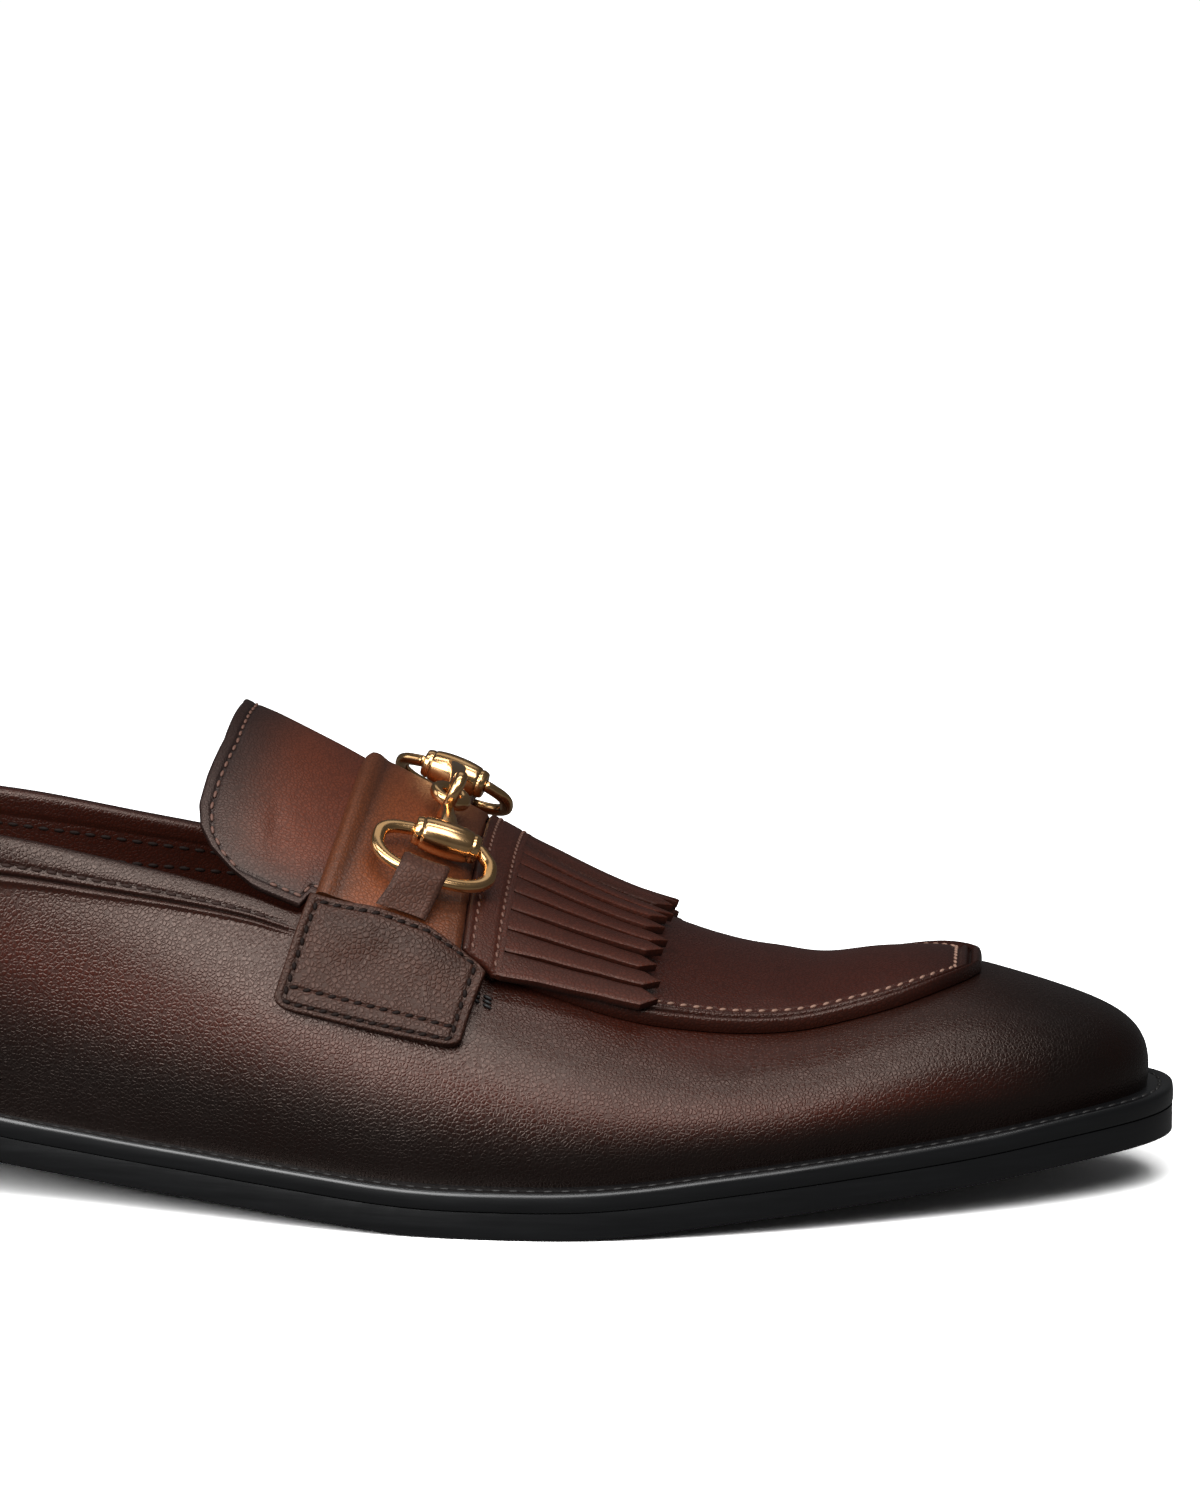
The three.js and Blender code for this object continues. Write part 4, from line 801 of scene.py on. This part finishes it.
def kiltie():
    """the fringed flap: a head and its strips"""
    edge = lambda s: broken(KILTIE_EDGE, s / LENGTH)
    head0, root, free, tip = .6039 * LENGTH, .6256 * LENGTH, .6328 * LENGTH, .7089 * LENGTH

    def spread(s):
        """girth places at a station: t and side at a length from the lateral edge"""
        tb = float(edge(s))
        t = np.concatenate((np.linspace(tb, 1, 80), np.linspace(1, tb, 80)[1:]))
        side = np.concatenate((np.full(80, -1.0), np.full(79, 1.0)))
        P = at(side, s, t, 0.0)
        run = runs(P)
        return run, t, side

    table_s = np.linspace(head0, tip + 1.5, 40)
    table = [spread(s) for s in table_s]

    def place(x, s, d):
        """x in shares of the girth from the lateral edge"""
        i = np.clip(((s - table_s[0]) / (table_s[1] - table_s[0])), 0, len(table_s) - 1.001)
        k = i.astype(int)
        f = i - k
        v = np.zeros_like(x)
        for n in np.unique(k):
            m = k == n
            for weight, (run, t, side) in ((1 - f, table[n]), (f, table[n + 1])):
                signed = np.where(side < 0, t - 1, 1 - t)     # below 0 on the lateral half, 0 on the ridge
                v[m] += np.interp(x[m] * run[-1], run, signed) * weight[m]
        return at(side_of(v), s, 1 - np.abs(v), d)

    girth = lambda s: np.interp(s, table_s, [t[0][-1] for t in table])

    def lay_head(u, v, top):
        s = head0 + dense_ends(u, 0.6) * (root - head0)
        near = np.minimum(s - head0, np.minimum(v, 1 - v) * girth(s))
        groove = 0.25 * hump(s - head0, 1.5, 0.4) + 0.25 * hump(root - s, 1.1, 0.4)
        return place(v, s, np.where(top, LAY2 + LAY - rounding(near, 0.5) - groove, LAY2 + 0.05))

    def marks_head(u, v, top):
        return {"burnish": 0.15 + 0.5 * smooth((0.3 - u) / 0.3), "warm": 0.45}

    pieces = [sheet("kiltie_head", 26, 170, lay_head, KILTIE_CALF, marks_head)]
    for k in range(STRIPS):
        def shape(u, v):
            s_end = tip + 0.6 * math.sin(1.9 * k + 0.6) - 2.9 * np.abs(2 * v - 1)      # a point 2.9 mm long
            s = root - 0.8 + dense_ends(u, 0.3) * (s_end - root + 0.8)
            open_ = smooth((s - free) / (tip - free))
            slit = SLIT / 2 * (1 + open_) / girth(s)
            lo = k / STRIPS + (slit if k else 0)
            hi = (k + 1) / STRIPS - (slit if k < STRIPS - 1 else 0)
            x = lo + v * (hi - lo)
            near = np.minimum(np.minimum(v, 1 - v) * girth(s) / STRIPS, (s_end - s) * 0.8)
            return s, x, near

        def lay(u, v, top):
            s, x, near = shape(u, v)
            f = np.maximum(0, (s - free) / (tip - free))
            lift = (1.1 + 0.3 * math.sin(2.3 * k + 1)) * f**1.7
            # each strip tips like a louvre: its lower edge stands off the vamp
            low = (1 - v) if k < STRIPS / 2 else v
            tilt = 0.42 * smooth((s - root) / 6) * (low - 0.5)
            cup = 0.12 * smooth((s - root) / 9) * (4 * v * (1 - v) - 0.6)
            h = np.where(top, LAY - 0.1 - rounding(near, 0.16), 0.0)
            return place(x, s, LAY2 + 0.02 + h + lift + tilt * np.where(top, 1, 0.6) + cup * np.where(top, 1, .3))

        def marks(u, v, top):
            low = (1 - v) if k < STRIPS / 2 else v
            # painted shade along each strip's tucked upper edge, beside the next strip's lifted edge; a random tone
            # per strip
            dark = 0.3 * smooth((0.25 - low) / 0.25) + 0.1 + 0.25 * (math.sin(3.1 * k) + 1) * 0.3
            return {"burnish": np.where(top, dark, 1.0), "warm": 0.3 + 0.5 * smooth((low - 0.3) / 0.6)}

        pieces.append(sheet(f"kiltie_strip_{k}", 44, 14, lay, KILTIE_CALF, marks))
    obj = join(pieces, "kiltie_calf")
    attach(obj, "root")
    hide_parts("kiltie")
    rows = []
    for s in (head0 + 1.5, root - 1.1):
        x = np.linspace(0.012, 0.988, 240)
        P = place(x, np.full(240, s), np.full(240, LAY2 + LAY - 0.12))
        up = unit(place(x, np.full(240, s), np.full(240, LAY2 + LAY + 1.0)) - P)
        rows.append((P, up))
    stitches("kiltie_stitches", rows, TONGUE_THREAD, 2.0, length=0.62, width=0.5, high=0.5, slant=0.3)


kiltie()


def tab(side, name):
    """a side tab over the foot of the band"""
    # length, height, corner, distance of the stitches from the edge, share of the height at the second row
    L, H, R, ROW, SECOND = 31.0, 28.0, 2.7, 1.7, .2

    def corner(u, v):
        """rounds the two lower corners"""
        x, y = u * L, v * H
        a = np.minimum(x, L - x)
        px, py = np.maximum(0, R - a), np.maximum(0, R - y)
        big, length = np.maximum(px, py), np.hypot(px, py)
        f = np.where((px > 0) & (py > 0), big / np.maximum(length, 1e-9), 1)
        nx, ny = R - px * f, R - py * f
        x = np.where(f < 1, np.where(x < L / 2, nx, L - nx), x)
        y = np.where(f < 1, ny, y)
        near = np.minimum(np.minimum(np.minimum(x, L - x), y), H - y)
        both = (np.minimum(x, L - x) < R) & (y < R)
        near = np.where(both, R - np.hypot(R - np.minimum(x, L - x), R - y), near)
        return x / L, y / H, near

    def on_last(u, v):
        s0, s1 = (.5037 + .0166 * v) * LENGTH, (.6075 + .0099 * v) * LENGTH
        s = s0 + u * (s1 - s0)
        t0, t1 = broken(TAB_FOOT, s / LENGTH), broken(TAB_TOP, s / LENGTH)
        return s, t0 + v * (t1 - t0)

    def base(u, v):
        u, v, near = corner(dense_ends(u, 0.5), dense_ends(v, 0.5))
        return *on_last(u, v), u, v, near

    def height(s, u, v, near):
        k = 1.4 - np.abs(s - .5705 * LENGTH) / 9.02
        rise = .5 + (BAND_TOP - 1.5) * smooth((v - .30) / .66) + 1.25 * smooth(k) * smooth((v - .45) / .5)
        groove = 0.32 * hump(near, ROW, 0.4) + 0.28 * hump(y_row(v), 0, 0.4) * (near > 2)
        # puckers: soft folds that fan out below the loop
        fold = (0.28 * hump(u + .2 * (v - .6), .7, .11) - 0.34 * hump(u - .25 * (v - .6), .44, .13)
                + 0.2 * hump(u, .18, .1)) * hump(v, .62, .2)
        return GAP + TAB_T + rise - groove + fold * smooth((near - 2) / 3)

    y_row = lambda v: (v - SECOND) * H

    def lay(u, v, top):
        s, t, u, v, near = base(u, v)
        d = np.where(top, height(s, u, v, near) - rounding(near, 0.55), GAP + 0.0 * s)
        return at(side, s, t, d)

    def marks(u, v, top):
        s, t, u, v, near = base(u, v)
        # painted shade in the stitch groove, and painted shade over the tab's upper part where the folds are
        dark = np.maximum(0.6 * hump(near, ROW, 0.6), 0.5 * smooth((v - .55) / .3) * smooth((near - 1) / 4))
        return {"burnish": dark, "warm": 0.25 + 0.3 * smooth((v - .3) / .4) - 0.2 * smooth((.25 - v) / .2)}

    obj = sheet("tab_calf_" + name, 110, 110, lay, TAB_CALF, marks)
    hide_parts("tab_" + name)
    k = np.linspace(0, 1, 90)
    m, w = ROW, R - ROW
    a = np.linspace(0, math.pi / 2, 14)
    x = np.concatenate((np.full(90, m), R - w * np.cos(a), R + k * (L - 2 * R), L - R + w * np.sin(a),
                        np.full(90, L - m)))
    y = np.concatenate((H - m - k * (H - m - R), R - w * np.sin(a), np.full(90, m), R - w * np.cos(a),
                        R + k * (H - m - R)))
    rows = []
    for X, Y in ((x, y), (m + k * (L - 2 * m), np.full(90, H - m)), (m + k * (L - 2 * m), np.full(90, SECOND * H))):
        u, v = X / L, Y / H
        s, t = on_last(u, v)
        d = height(s, u, v, np.full_like(s, ROW)) + 0.12
        rows.append((at(side, s, t, d), normal_at(side, s, t)))
    stitches("tab_stitches_" + name, rows, TAB_THREAD, 2.2, length=0.7, width=0.8, high=0.7, slant=0.35)


tab(-1, "lateral")
tab(1, "medial")


def bar_tack():
    """three crossed threads where the tab's front edge meets the kiltie"""
    rows = []
    for side in (-1, 1):
        for k in (-1, 0, 1):
            s = np.linspace(186.4, 190.4, 12)
            t = .450 + k * .011 - (s - 188.4) * .0022
            rows.append((at(side, s, t, 0.15), normal_at(side, s, t)))
    stitches("bar_tack", rows, BLACK_THREAD, 2.0, length=0.8, width=0.6, high=0.6)


bar_tack()


# ------------------------------------------------------------------ snaffle bit
RING_A, RING_B, RING_W, RING_T, RING_RISE = 10.0, 5.6, 1.2, 0.95, 3.5
BARREL_L, BARREL_R, BAR_R, BORE_GAP = 11.6, 3.15, 0.85, 0.32
EYE_R, EYE_T, EYE_H = 2.65, 1.06, 3.8
KEEPER_W, KEEPER_T = 8.2, 1.0


class BitPlace:
    """axes of one half of the bit: e along the ring, w up over the instep, n off the leather"""

    def __init__(self, side, tc, station, skew, barrel):
        self.side, self.s, self.skew, self.barrel = side, station * LENGTH, skew, barrel
        d = BAND_TOP + RING_RISE
        self.n = normal_at(side, self.s, tc)
        self.o = at(side, self.s, tc, d)
        w = at(side, self.s, tc + .01, d) - at(side, self.s, tc - .01, d)
        self.w = unit(w - self.n * (w @ self.n))
        self.e = unit(np.cross(self.w, self.n) if side < 0 else np.cross(self.n, self.w))

    def __call__(self, a, b, n):
        a, b, n = np.broadcast_arrays(*(np.asarray(k, float) for k in (a, b, n)))
        return self.o + a[..., None] * self.e + b[..., None] * self.w + n[..., None] * self.n


BIT_PLACES = {"lateral": BitPlace(-1, .672, .582, -0.8, .7), "medial": BitPlace(1, .764, .5757, .2, .3)}


def swept(path, up, wide, high, v, m=2.0):
    """places round a bar along a closed or open path; m over 2 flattens its faces"""
    along = unit(np.gradient(path, axis=0))
    over = unit(np.cross(up, along))
    lift = np.cross(along, over)
    c, s = np.cos(2 * math.pi * v), np.sin(2 * math.pi * v)
    c, s = np.sign(c) * np.abs(c) ** (2 / m), np.sign(s) * np.abs(s) ** (2 / m)
    return lambda i: path[i] + over[i] * (wide[i] * c)[:, None] + lift[i] * (high[i] * s)[:, None]


def bit_ring(spot, name):
    """an oval ring, straight inside its barrel"""
    half = BARREL_L / 2 + GAP
    c0 = spot.barrel - spot.skew
    tr = math.acos(min(.98, (c0 + half + .9) / RING_A))
    tl = math.acos(max(-.98, (c0 - half - .9) / RING_A))
    th = tr - np.linspace(0, 1, 200) * (tr + 2 * math.pi - tl)
    c, s = np.cos(th), np.sin(th)
    m = np.where(s > 0, 3.2, 2.25)
    arc = np.stack([RING_A * np.sign(c) * np.abs(c) ** (2 / m), RING_B * np.sign(s) * np.abs(s) ** (2 / m)], -1)
    flat = np.stack([np.linspace(c0 - half, c0 + half, 40), np.full(40, RING_B)], -1)
    loop = np.concatenate((flat, arc))
    loop = np.concatenate((loop, loop[:1]))
    run = runs(loop)
    k = np.linspace(0, run[-1], 241)
    a, b = np.interp(k, run, loop[:, 0]), np.interp(k, run, loop[:, 1])
    for _ in range(2):                                        # eases the two bends beside the barrel
        a, b = ((x[np.arange(-1, 240) % 240] + 2 * x + x[(np.arange(241) + 1) % 240]) / 4 for x in (a, b))
    a[-1], b[-1] = a[0], b[0]
    path = spot(a + spot.skew, b, 0)
    inside = smooth((half - np.abs(a - c0)) / 0.8) * (b > RING_B - .4)
    wide, high = RING_W + (BAR_R - RING_W) * inside, RING_T + (BAR_R - RING_T) * inside

    def lay(u, v):
        return swept(path, spot.n, wide, high, v, 2.5)(nearest(u, 240))

    obj = tube("ring_" + name, 240, 20, lay, GOLD)
    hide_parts("bit_ring_" + name)


def revolve(origin, axis, ref, profile, v, i):
    """points of a turned shape"""
    side = np.cross(axis, ref)
    r, x = profile[i, 1], profile[i, 0]
    return origin + x[:, None] * axis + (r * np.cos(2 * math.pi * v))[:,
            None] * ref + (r * np.sin(2 * math.pi * v))[:, None] * side


def bit_bars():
    """barrel, shank and eye of each half, one eye upright through the other"""
    eye_s, t_a = .5803 * LENGTH, .850
    d_a = BAND_TOP + EYE_R + EYE_T + .35
    n_a = normal_at(-1, eye_s, t_a)
    A = at(-1, eye_s, t_a, d_a)
    w = at(-1, eye_s, t_a + .01, d_a) - at(-1, eye_s, t_a - .01, d_a)
    w = unit(w - n_a * (w @ n_a))
    e = unit(np.cross(w, n_a))
    B = A + w * EYE_R - n_a * .15
    th = np.linspace(0, 2 * math.pi, 97)
    upright = A + np.outer(EYE_R * np.cos(th), w) + np.outer(EYE_H * (1 + np.sin(th)) - EYE_R, n_a)
    flat = B + np.outer(EYE_R * np.cos(th), w) + np.outer(EYE_R * np.sin(th), e)
    bore, e0 = BAR_R + BORE_GAP, BARREL_L / 2
    outer = [[-e0, bore], [-e0, 1.95], [-e0 + .06, 2.2], [-e0 + .2, 2.34], [-e0 + .45, 2.42]]
    body = [[x, BARREL_R * (1 - .23 * (abs(x) / (e0 - .45)) ** 2.3)
             - .18 * math.exp(-((e0 - 1.35 - abs(x)) / .22) ** 2)] for x in np.linspace(-e0 + .7, e0 - .7, 61)]
    profile = np.array(outer + body + [[-x, r] for x, r in outer[::-1]] + [[0, bore], [-e0, bore]])
    for name, loop, up, end, rise in (("lateral", upright, e, A - w * EYE_R, .25),
                                      ("medial", flat, n_a, B + w * EYE_R, 1.3)):
        spot = BIT_PLACES[name]
        O = spot(spot.barrel, RING_B, 0)
        n = len(profile) - 1
        barrel = tube("barrel", n, 40, lambda u, v: revolve(O, spot.e, spot.n, profile, v, nearest(u, n)), GOLD,
                      angle=32)
        start = O + spot.w * .7 * BARREL_R + spot.n * .13 * BARREL_R
        f = np.linspace(0, 1, 33)[:, None]
        mid = unit(spot.n * (1 - f) + n_a * f)
        path = start * (1 - f) + end * f + mid * rise * np.sin(math.pi * f)
        wide = 1.75 - .75 * smooth(f[:, 0] * 1.15)
        high = 1.0 - .12 * f[:, 0]
        high[0] = wide[0] = high[-1] = wide[-1] = 0.01
        shank = tube("shank", 32, 16, lambda u, v: swept(path, n_a, wide, high, v, 3.0)(nearest(u, 32)), GOLD)
        thick = np.full(97, EYE_T)
        upv = np.broadcast_to(up, (97, 3))
        eye = tube("eye", 96, 18, lambda u, v: swept(loop, upv, thick, thick, v, 2.4)(nearest(u, 96)), GOLD)
        obj = join([barrel, shank, eye], "bar_" + name)
        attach(obj, "root")
        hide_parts("bit_bar_" + name)


def keeper(spot, name):
    """a leather loop over the ring, its foot under the tab"""
    side, hw, kt = spot.side, KEEPER_W / 2, KEEPER_T / 2
    sag = lambda x: RING_B - RING_B * (1 - np.minimum(.99, np.abs(x) / RING_A) ** 2.25) ** (1 / 2.25)
    centre = lambda f: (.5685 + .0072 * f) * LENGTH
    up, q, r = RING_T + kt + .34, RING_B + RING_W, RING_B - RING_W
    prof = [[0, 0], [-q - 2.2, -.3], [-q - 1.2, up - .92], [-q - .2, up], [.1 - RING_B, up + .23],
            [.2 - r, up + .03], [kt + .5 - r, up - .8], [kt + .6 - r, -.6], [kt + .5 - r, -1.7]]
    strips = 16
    rows = []
    for c in range(strips + 1):
        o = (c / strips * 2 - 1) * hw
        s0 = centre(0) + o
        base = at(side, s0, float(curve(TAB_TOP, s0 / LENGTH)) + .009, BAND_TOP + .9 + kt) - spot.o
        pts = [[float(base @ spot.e), float(base @ spot.w), float(base @ spot.n)]]
        for k in range(1, len(prof)):
            a = (centre(.55 + .45 * min(1, k / 5)) - spot.s) * 1.02 + o
            pts.append([a, prof[k][0] + float(sag(a - spot.skew)) * (.5 if k == 1 else 1.12 if k > 4 else 1),
                        prof[k][1]])
        pts = np.array(pts)
        run = runs(pts)
        k = np.linspace(0, run[-1], 49)
        rows.append(np.stack([curve([[x, y] for x, y in zip(run, pts[:, j])], k) for j in range(3)], -1))
    rows = np.array(rows)
    P = spot(rows[..., 0], rows[..., 1], rows[..., 2])
    N = unit(np.cross(np.gradient(P, axis=1), np.gradient(P, axis=0)))
    if (N[strips // 2, 24] @ spot.n) < 0:
        N = -N

    def lay(u, v, top):
        i, j = nearest(u, strips), nearest(v, 48)
        near = np.minimum(u, 1 - u) * KEEPER_W
        h = kt - rounding(near, 0.35)
        return P[i, j] + N[i, j] * np.where(top, h, -h)[:, None]

    obj = sheet("keeper_calf_" + name, strips, 48, lay, STRAP_CALF, lambda u, v,
                top: {"burnish": 0.5 * smooth((.12 - np.minimum(u, 1 - u)) / .12) + .1, "warm": .2}, angle=50)
    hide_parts("keeper_" + name)


for name, spot in BIT_PLACES.items():
    bit_ring(spot, name)
    keeper(spot, name)
bit_bars()


# ------------------------------------------------------------------ sole and heel
def sole_sheet(name, inset, low, high, looks, node, bevel):
    """a sheet inside the outline, following the sole's underside"""
    def lay(u, v, top):
        q = half_place(u)
        xl, yl, _ = outline(-1.0, q, inset)
        xm, ym, _ = outline(1.0, q, inset)
        f = dense_ends(v, 0.85)
        x, y = xl * (1 - f) + xm * f, yl * (1 - f) + ym * f
        return np.stack([x, y, underside(x) + np.where(top, high, low)], -1)

    obj = sheet(name, 220, 40, lay, looks, angle=35, bevel=bevel)
    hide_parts(node)
    return obj


sole_sheet("outsole_edge", lambda x: 0.15 + 0 * x, 0.0, OUTSOLE_T, EDGE, "outsole", bevel=0.45)
sole_sheet("sock_lining", lambda x: welt_width(x) + WALL + GAP + .2, OUTSOLE_T + GAP,
                   OUTSOLE_T + GAP + INSOLE_T - .25, SOCK, "insole", bevel=0.6)


def welt():
    """the welt with its pinched seam"""
    # section from the inside over the top to the edge and back: inset share or mm, height over the underside
    low, high = OUTSOLE_T + .06, SOLE_T
    sec = [("in", low), ("in", high), (3.3, high), (2.9, high - .12), (2.5, high - .3), (2.1, high - .12),
           (1.6, high), (.9, high - .02), (.5, high - .12), (.2, high - .4), (.08, high - .9),
           (0, (low + high) / 2), (.05, low + .5), (.3, low + .1), (.6, low), ("in", low)]

    def lay(u, v):
        side, q = ring_place(u)
        j = nearest(v, len(sec) - 1)
        x, y, z = np.zeros_like(u), np.zeros_like(u), np.zeros_like(u)
        for n, (ins, h) in enumerate(sec):
            m = j == n
            f = (lambda x: welt_width(x) + WALL - GAP) if ins == "in" else (lambda x,
                    k=ins: np.minimum(k * np.interp(welt_width(x), [2, 4.8], [.55, 1]), welt_width(x) + WALL - GAP))
            X, Y, _ = outline(side[m], q[m], f)
            x[m], y[m], z[m] = X, Y, underside(X) + h
        return np.stack([x, y, z], -1)

    obj = tube("welt_edge", 400, len(sec) - 1, lay, EDGE, angle=35)
    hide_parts("welt")
    u = np.linspace(0.0005, 0.9995, 1400)
    side, q = ring_place(u)
    x, y, _ = outline(side, q, lambda x: 2.5 * np.interp(welt_width(x), [2, 4.8], [.55, 1]))
    P = np.stack([x, y, underside(x) + high - .22], -1)
    stitches("welt_stitches", [(P, np.broadcast_to([0, 0, 1.0], P.shape))], BLACK_THREAD, 2.9, length=0.66, width=0.7,
             high=0.55)


welt()


def heel():
    """the outline behind the breast, with a hollow front"""
    def loop(inset, n=240):
        qb = q_of(BREAST - inset * .8)
        back = np.linspace(-1, qb, 110)
        xl, yl, _ = outline(-1.0, back, lambda x: inset + 0 * x)
        xm, ym, _ = outline(1.0, back, lambda x: inset + 0 * x)
        f = np.linspace(-1, 1, 41)[1:-1]
        bx, w0, w1 = xl[-1], yl[-1], ym[-1]
        front = np.stack([bx - .04 * BREAST * (1 - f * f), np.where(f < 0, -f * w0, f * w1)], -1)
        pts = np.concatenate((np.stack([xl, yl], -1), front, np.stack([xm, ym], -1)[::-1]))
        run = runs(pts)
        k = np.linspace(0, run[-1], n + 1)
        return np.stack([np.interp(k, run, pts[:, c]) for c in (0, 1)], -1)

    def block(name, rows, look, node):
        """rows of (inset, height or the share of the way up to the outsole, centre)"""
        n = len(rows) - 1
        loops = [loop(r[0]) for r in rows]

        def lay(u, v):
            i, j = nearest(u, 240), nearest(v, n)
            out = np.zeros((len(u), 3))
            for k, (inset, z, pull) in enumerate(rows):
                m = j == k
                xy = loops[k][i[m]]
                c = np.array([.115 * LENGTH, 0.0])
                xy = c + (xy - c) * pull
                out[m, :2] = xy
                out[m, 2] = z(xy[:, 0]) if callable(z) else z
            return out

        obj = tube(name, 240, n, lay, look, angle=30)
        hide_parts(node)
        return obj

    z1 = LIFT_T + GAP
    top = lambda x: underside(x) - GAP
    level = lambda f: (lambda x: z1 + (underside(x) - GAP - z1) * f)
    rows = [(1.5, z1, 0.0), (1.5, z1, 0.5), (1.5, z1, 0.99), (1.45, z1 + .15, 1)]
    for f in (1 / 3, 2 / 3):                                  # lifts show as fine lines round the block
        i0 = 1.5 - f
        rows += [(i0 + .02, level(f - .035), 1), (i0 + .16, level(f - .012), 1), (i0 + .16, level(f + .012), 1),
                 (i0 - .02, level(f + .035), 1)]
    rows += [(.5, level(.985), 1), (.6, top, .99), (.6, top, .75), (.6, top, .5), (.6, top, .25), (.6, top, 0.0)]
    block("heel_lifts", rows, EDGE, "heel_stack")
    rows = [(1.9, 0.0, 0.0), (1.9, 0.0, .5), (1.95, 0.0, .985), (1.85, .12, 1), (1.8, .5, 1), (1.6, LIFT_T - .4, 1),
            (1.65, LIFT_T - .1, 1), (1.75, LIFT_T, .99), (1.75, LIFT_T, 0.0)]
    block("top_lift_rubber", rows, RUBBER, "top_lift")


heel()


# ------------------------------------------------------------------ floor, light and camera
def stage():
    """floor, surroundings, soft boxes and camera"""
    bpy.ops.object.select_all(action="DESELECT")
    bpy.ops.mesh.primitive_plane_add(size=2.1, location=(0.1, -0.05, -0.0002))
    floor = bpy.context.object
    floor.name = "floor"
    # white paper, printed up to white as a product picture is; for bounced light it counts as grey card
    paper, tree, shader = material("pale_paper")
    ray = add(tree, "ShaderNodeLightPath").outputs["Is Camera Ray"]
    tone = add(tree, "ShaderNodeMix", {6: (0.1, 0.1, 0.1, 1), 7: (2.5, 2.5, 2.49, 1)}, {0: ray}, data_type="RGBA")
    matt = add(tree, "ShaderNodeBsdfDiffuse", None, {"Color": tone.outputs[2]})
    tree.links.new(matt.outputs[0], tree.nodes["Material Output"].inputs["Surface"])
    floor.data.materials.append(paper)
    world = bpy.data.worlds.new("studio")
    bpy.context.scene.world = world
    world.use_nodes = True
    air = world.node_tree
    ray = add(air, "ShaderNodeLightPath").outputs["Is Camera Ray"]
    shade = add(air, "ShaderNodeMix", {6: (0.06, 0.06, 0.061, 1), 7: (1.05, 1.05, 1.045, 1)}, {0: ray},
                data_type="RGBA")
    air.links.new(shade.outputs[2], air.nodes["Background"].inputs["Color"])

    def soft(name, az, el, far, size, radiance):
        """a soft box seen from the shoe: turn from the front, height in degrees, distance and size in m"""
        lamp = bpy.data.lights.new(name, "AREA")
        lamp.shape, lamp.size, lamp.size_y = "RECTANGLE", size[0], size[1]
        lamp.energy = radiance * math.pi * size[0] * size[1]
        o = bpy.data.objects.new(name, lamp)
        bpy.context.scene.collection.objects.link(o)
        a, b = math.radians(az), math.radians(el)
        aim = Vector((0.13, 0, 0.04))
        way = Vector((math.sin(a) * math.cos(b), -math.cos(a) * math.cos(b), math.sin(b)))
        o.location = aim + way * far
        o.rotation_euler = (-way).to_track_quat("-Z", "Y").to_euler()

    soft("left_front_box", -32, 29, 1.7, (1.1, 0.8), 8.6)
    soft("right_front_box", 15, 48, 1.7, (1.2, 0.85), 5.0)
    soft("top_strip", 10, 80, 1.4, (1.4, 0.22), 5.0)
    soft("left_box", -80, 30, 1.4, (0.5, 0.8), 1.5)
    soft("back_box", 172, 62, 1.6, (1.2, 0.6), 0.5)

    scene = bpy.context.scene
    scene.view_settings.view_transform = "Standard"
    cam = bpy.data.cameras.new("camera")
    cam.sensor_width, cam.lens = 36, 153.12
    cam.clip_start, cam.clip_end = 0.05, 30
    eye = bpy.data.objects.new("camera", cam)
    scene.collection.objects.link(eye)
    az, el, far = math.radians(4.0), math.radians(9.5), 1.1
    target = Vector((0.167627, 0, 0.073717))
    away = Vector((math.sin(az) * math.cos(el), -math.cos(az) * math.cos(el), math.sin(el)))
    eye.location = target + away * far
    eye.rotation_euler = (-away).to_track_quat("-Z", "Y").to_euler()
    scene.camera = eye


stage()
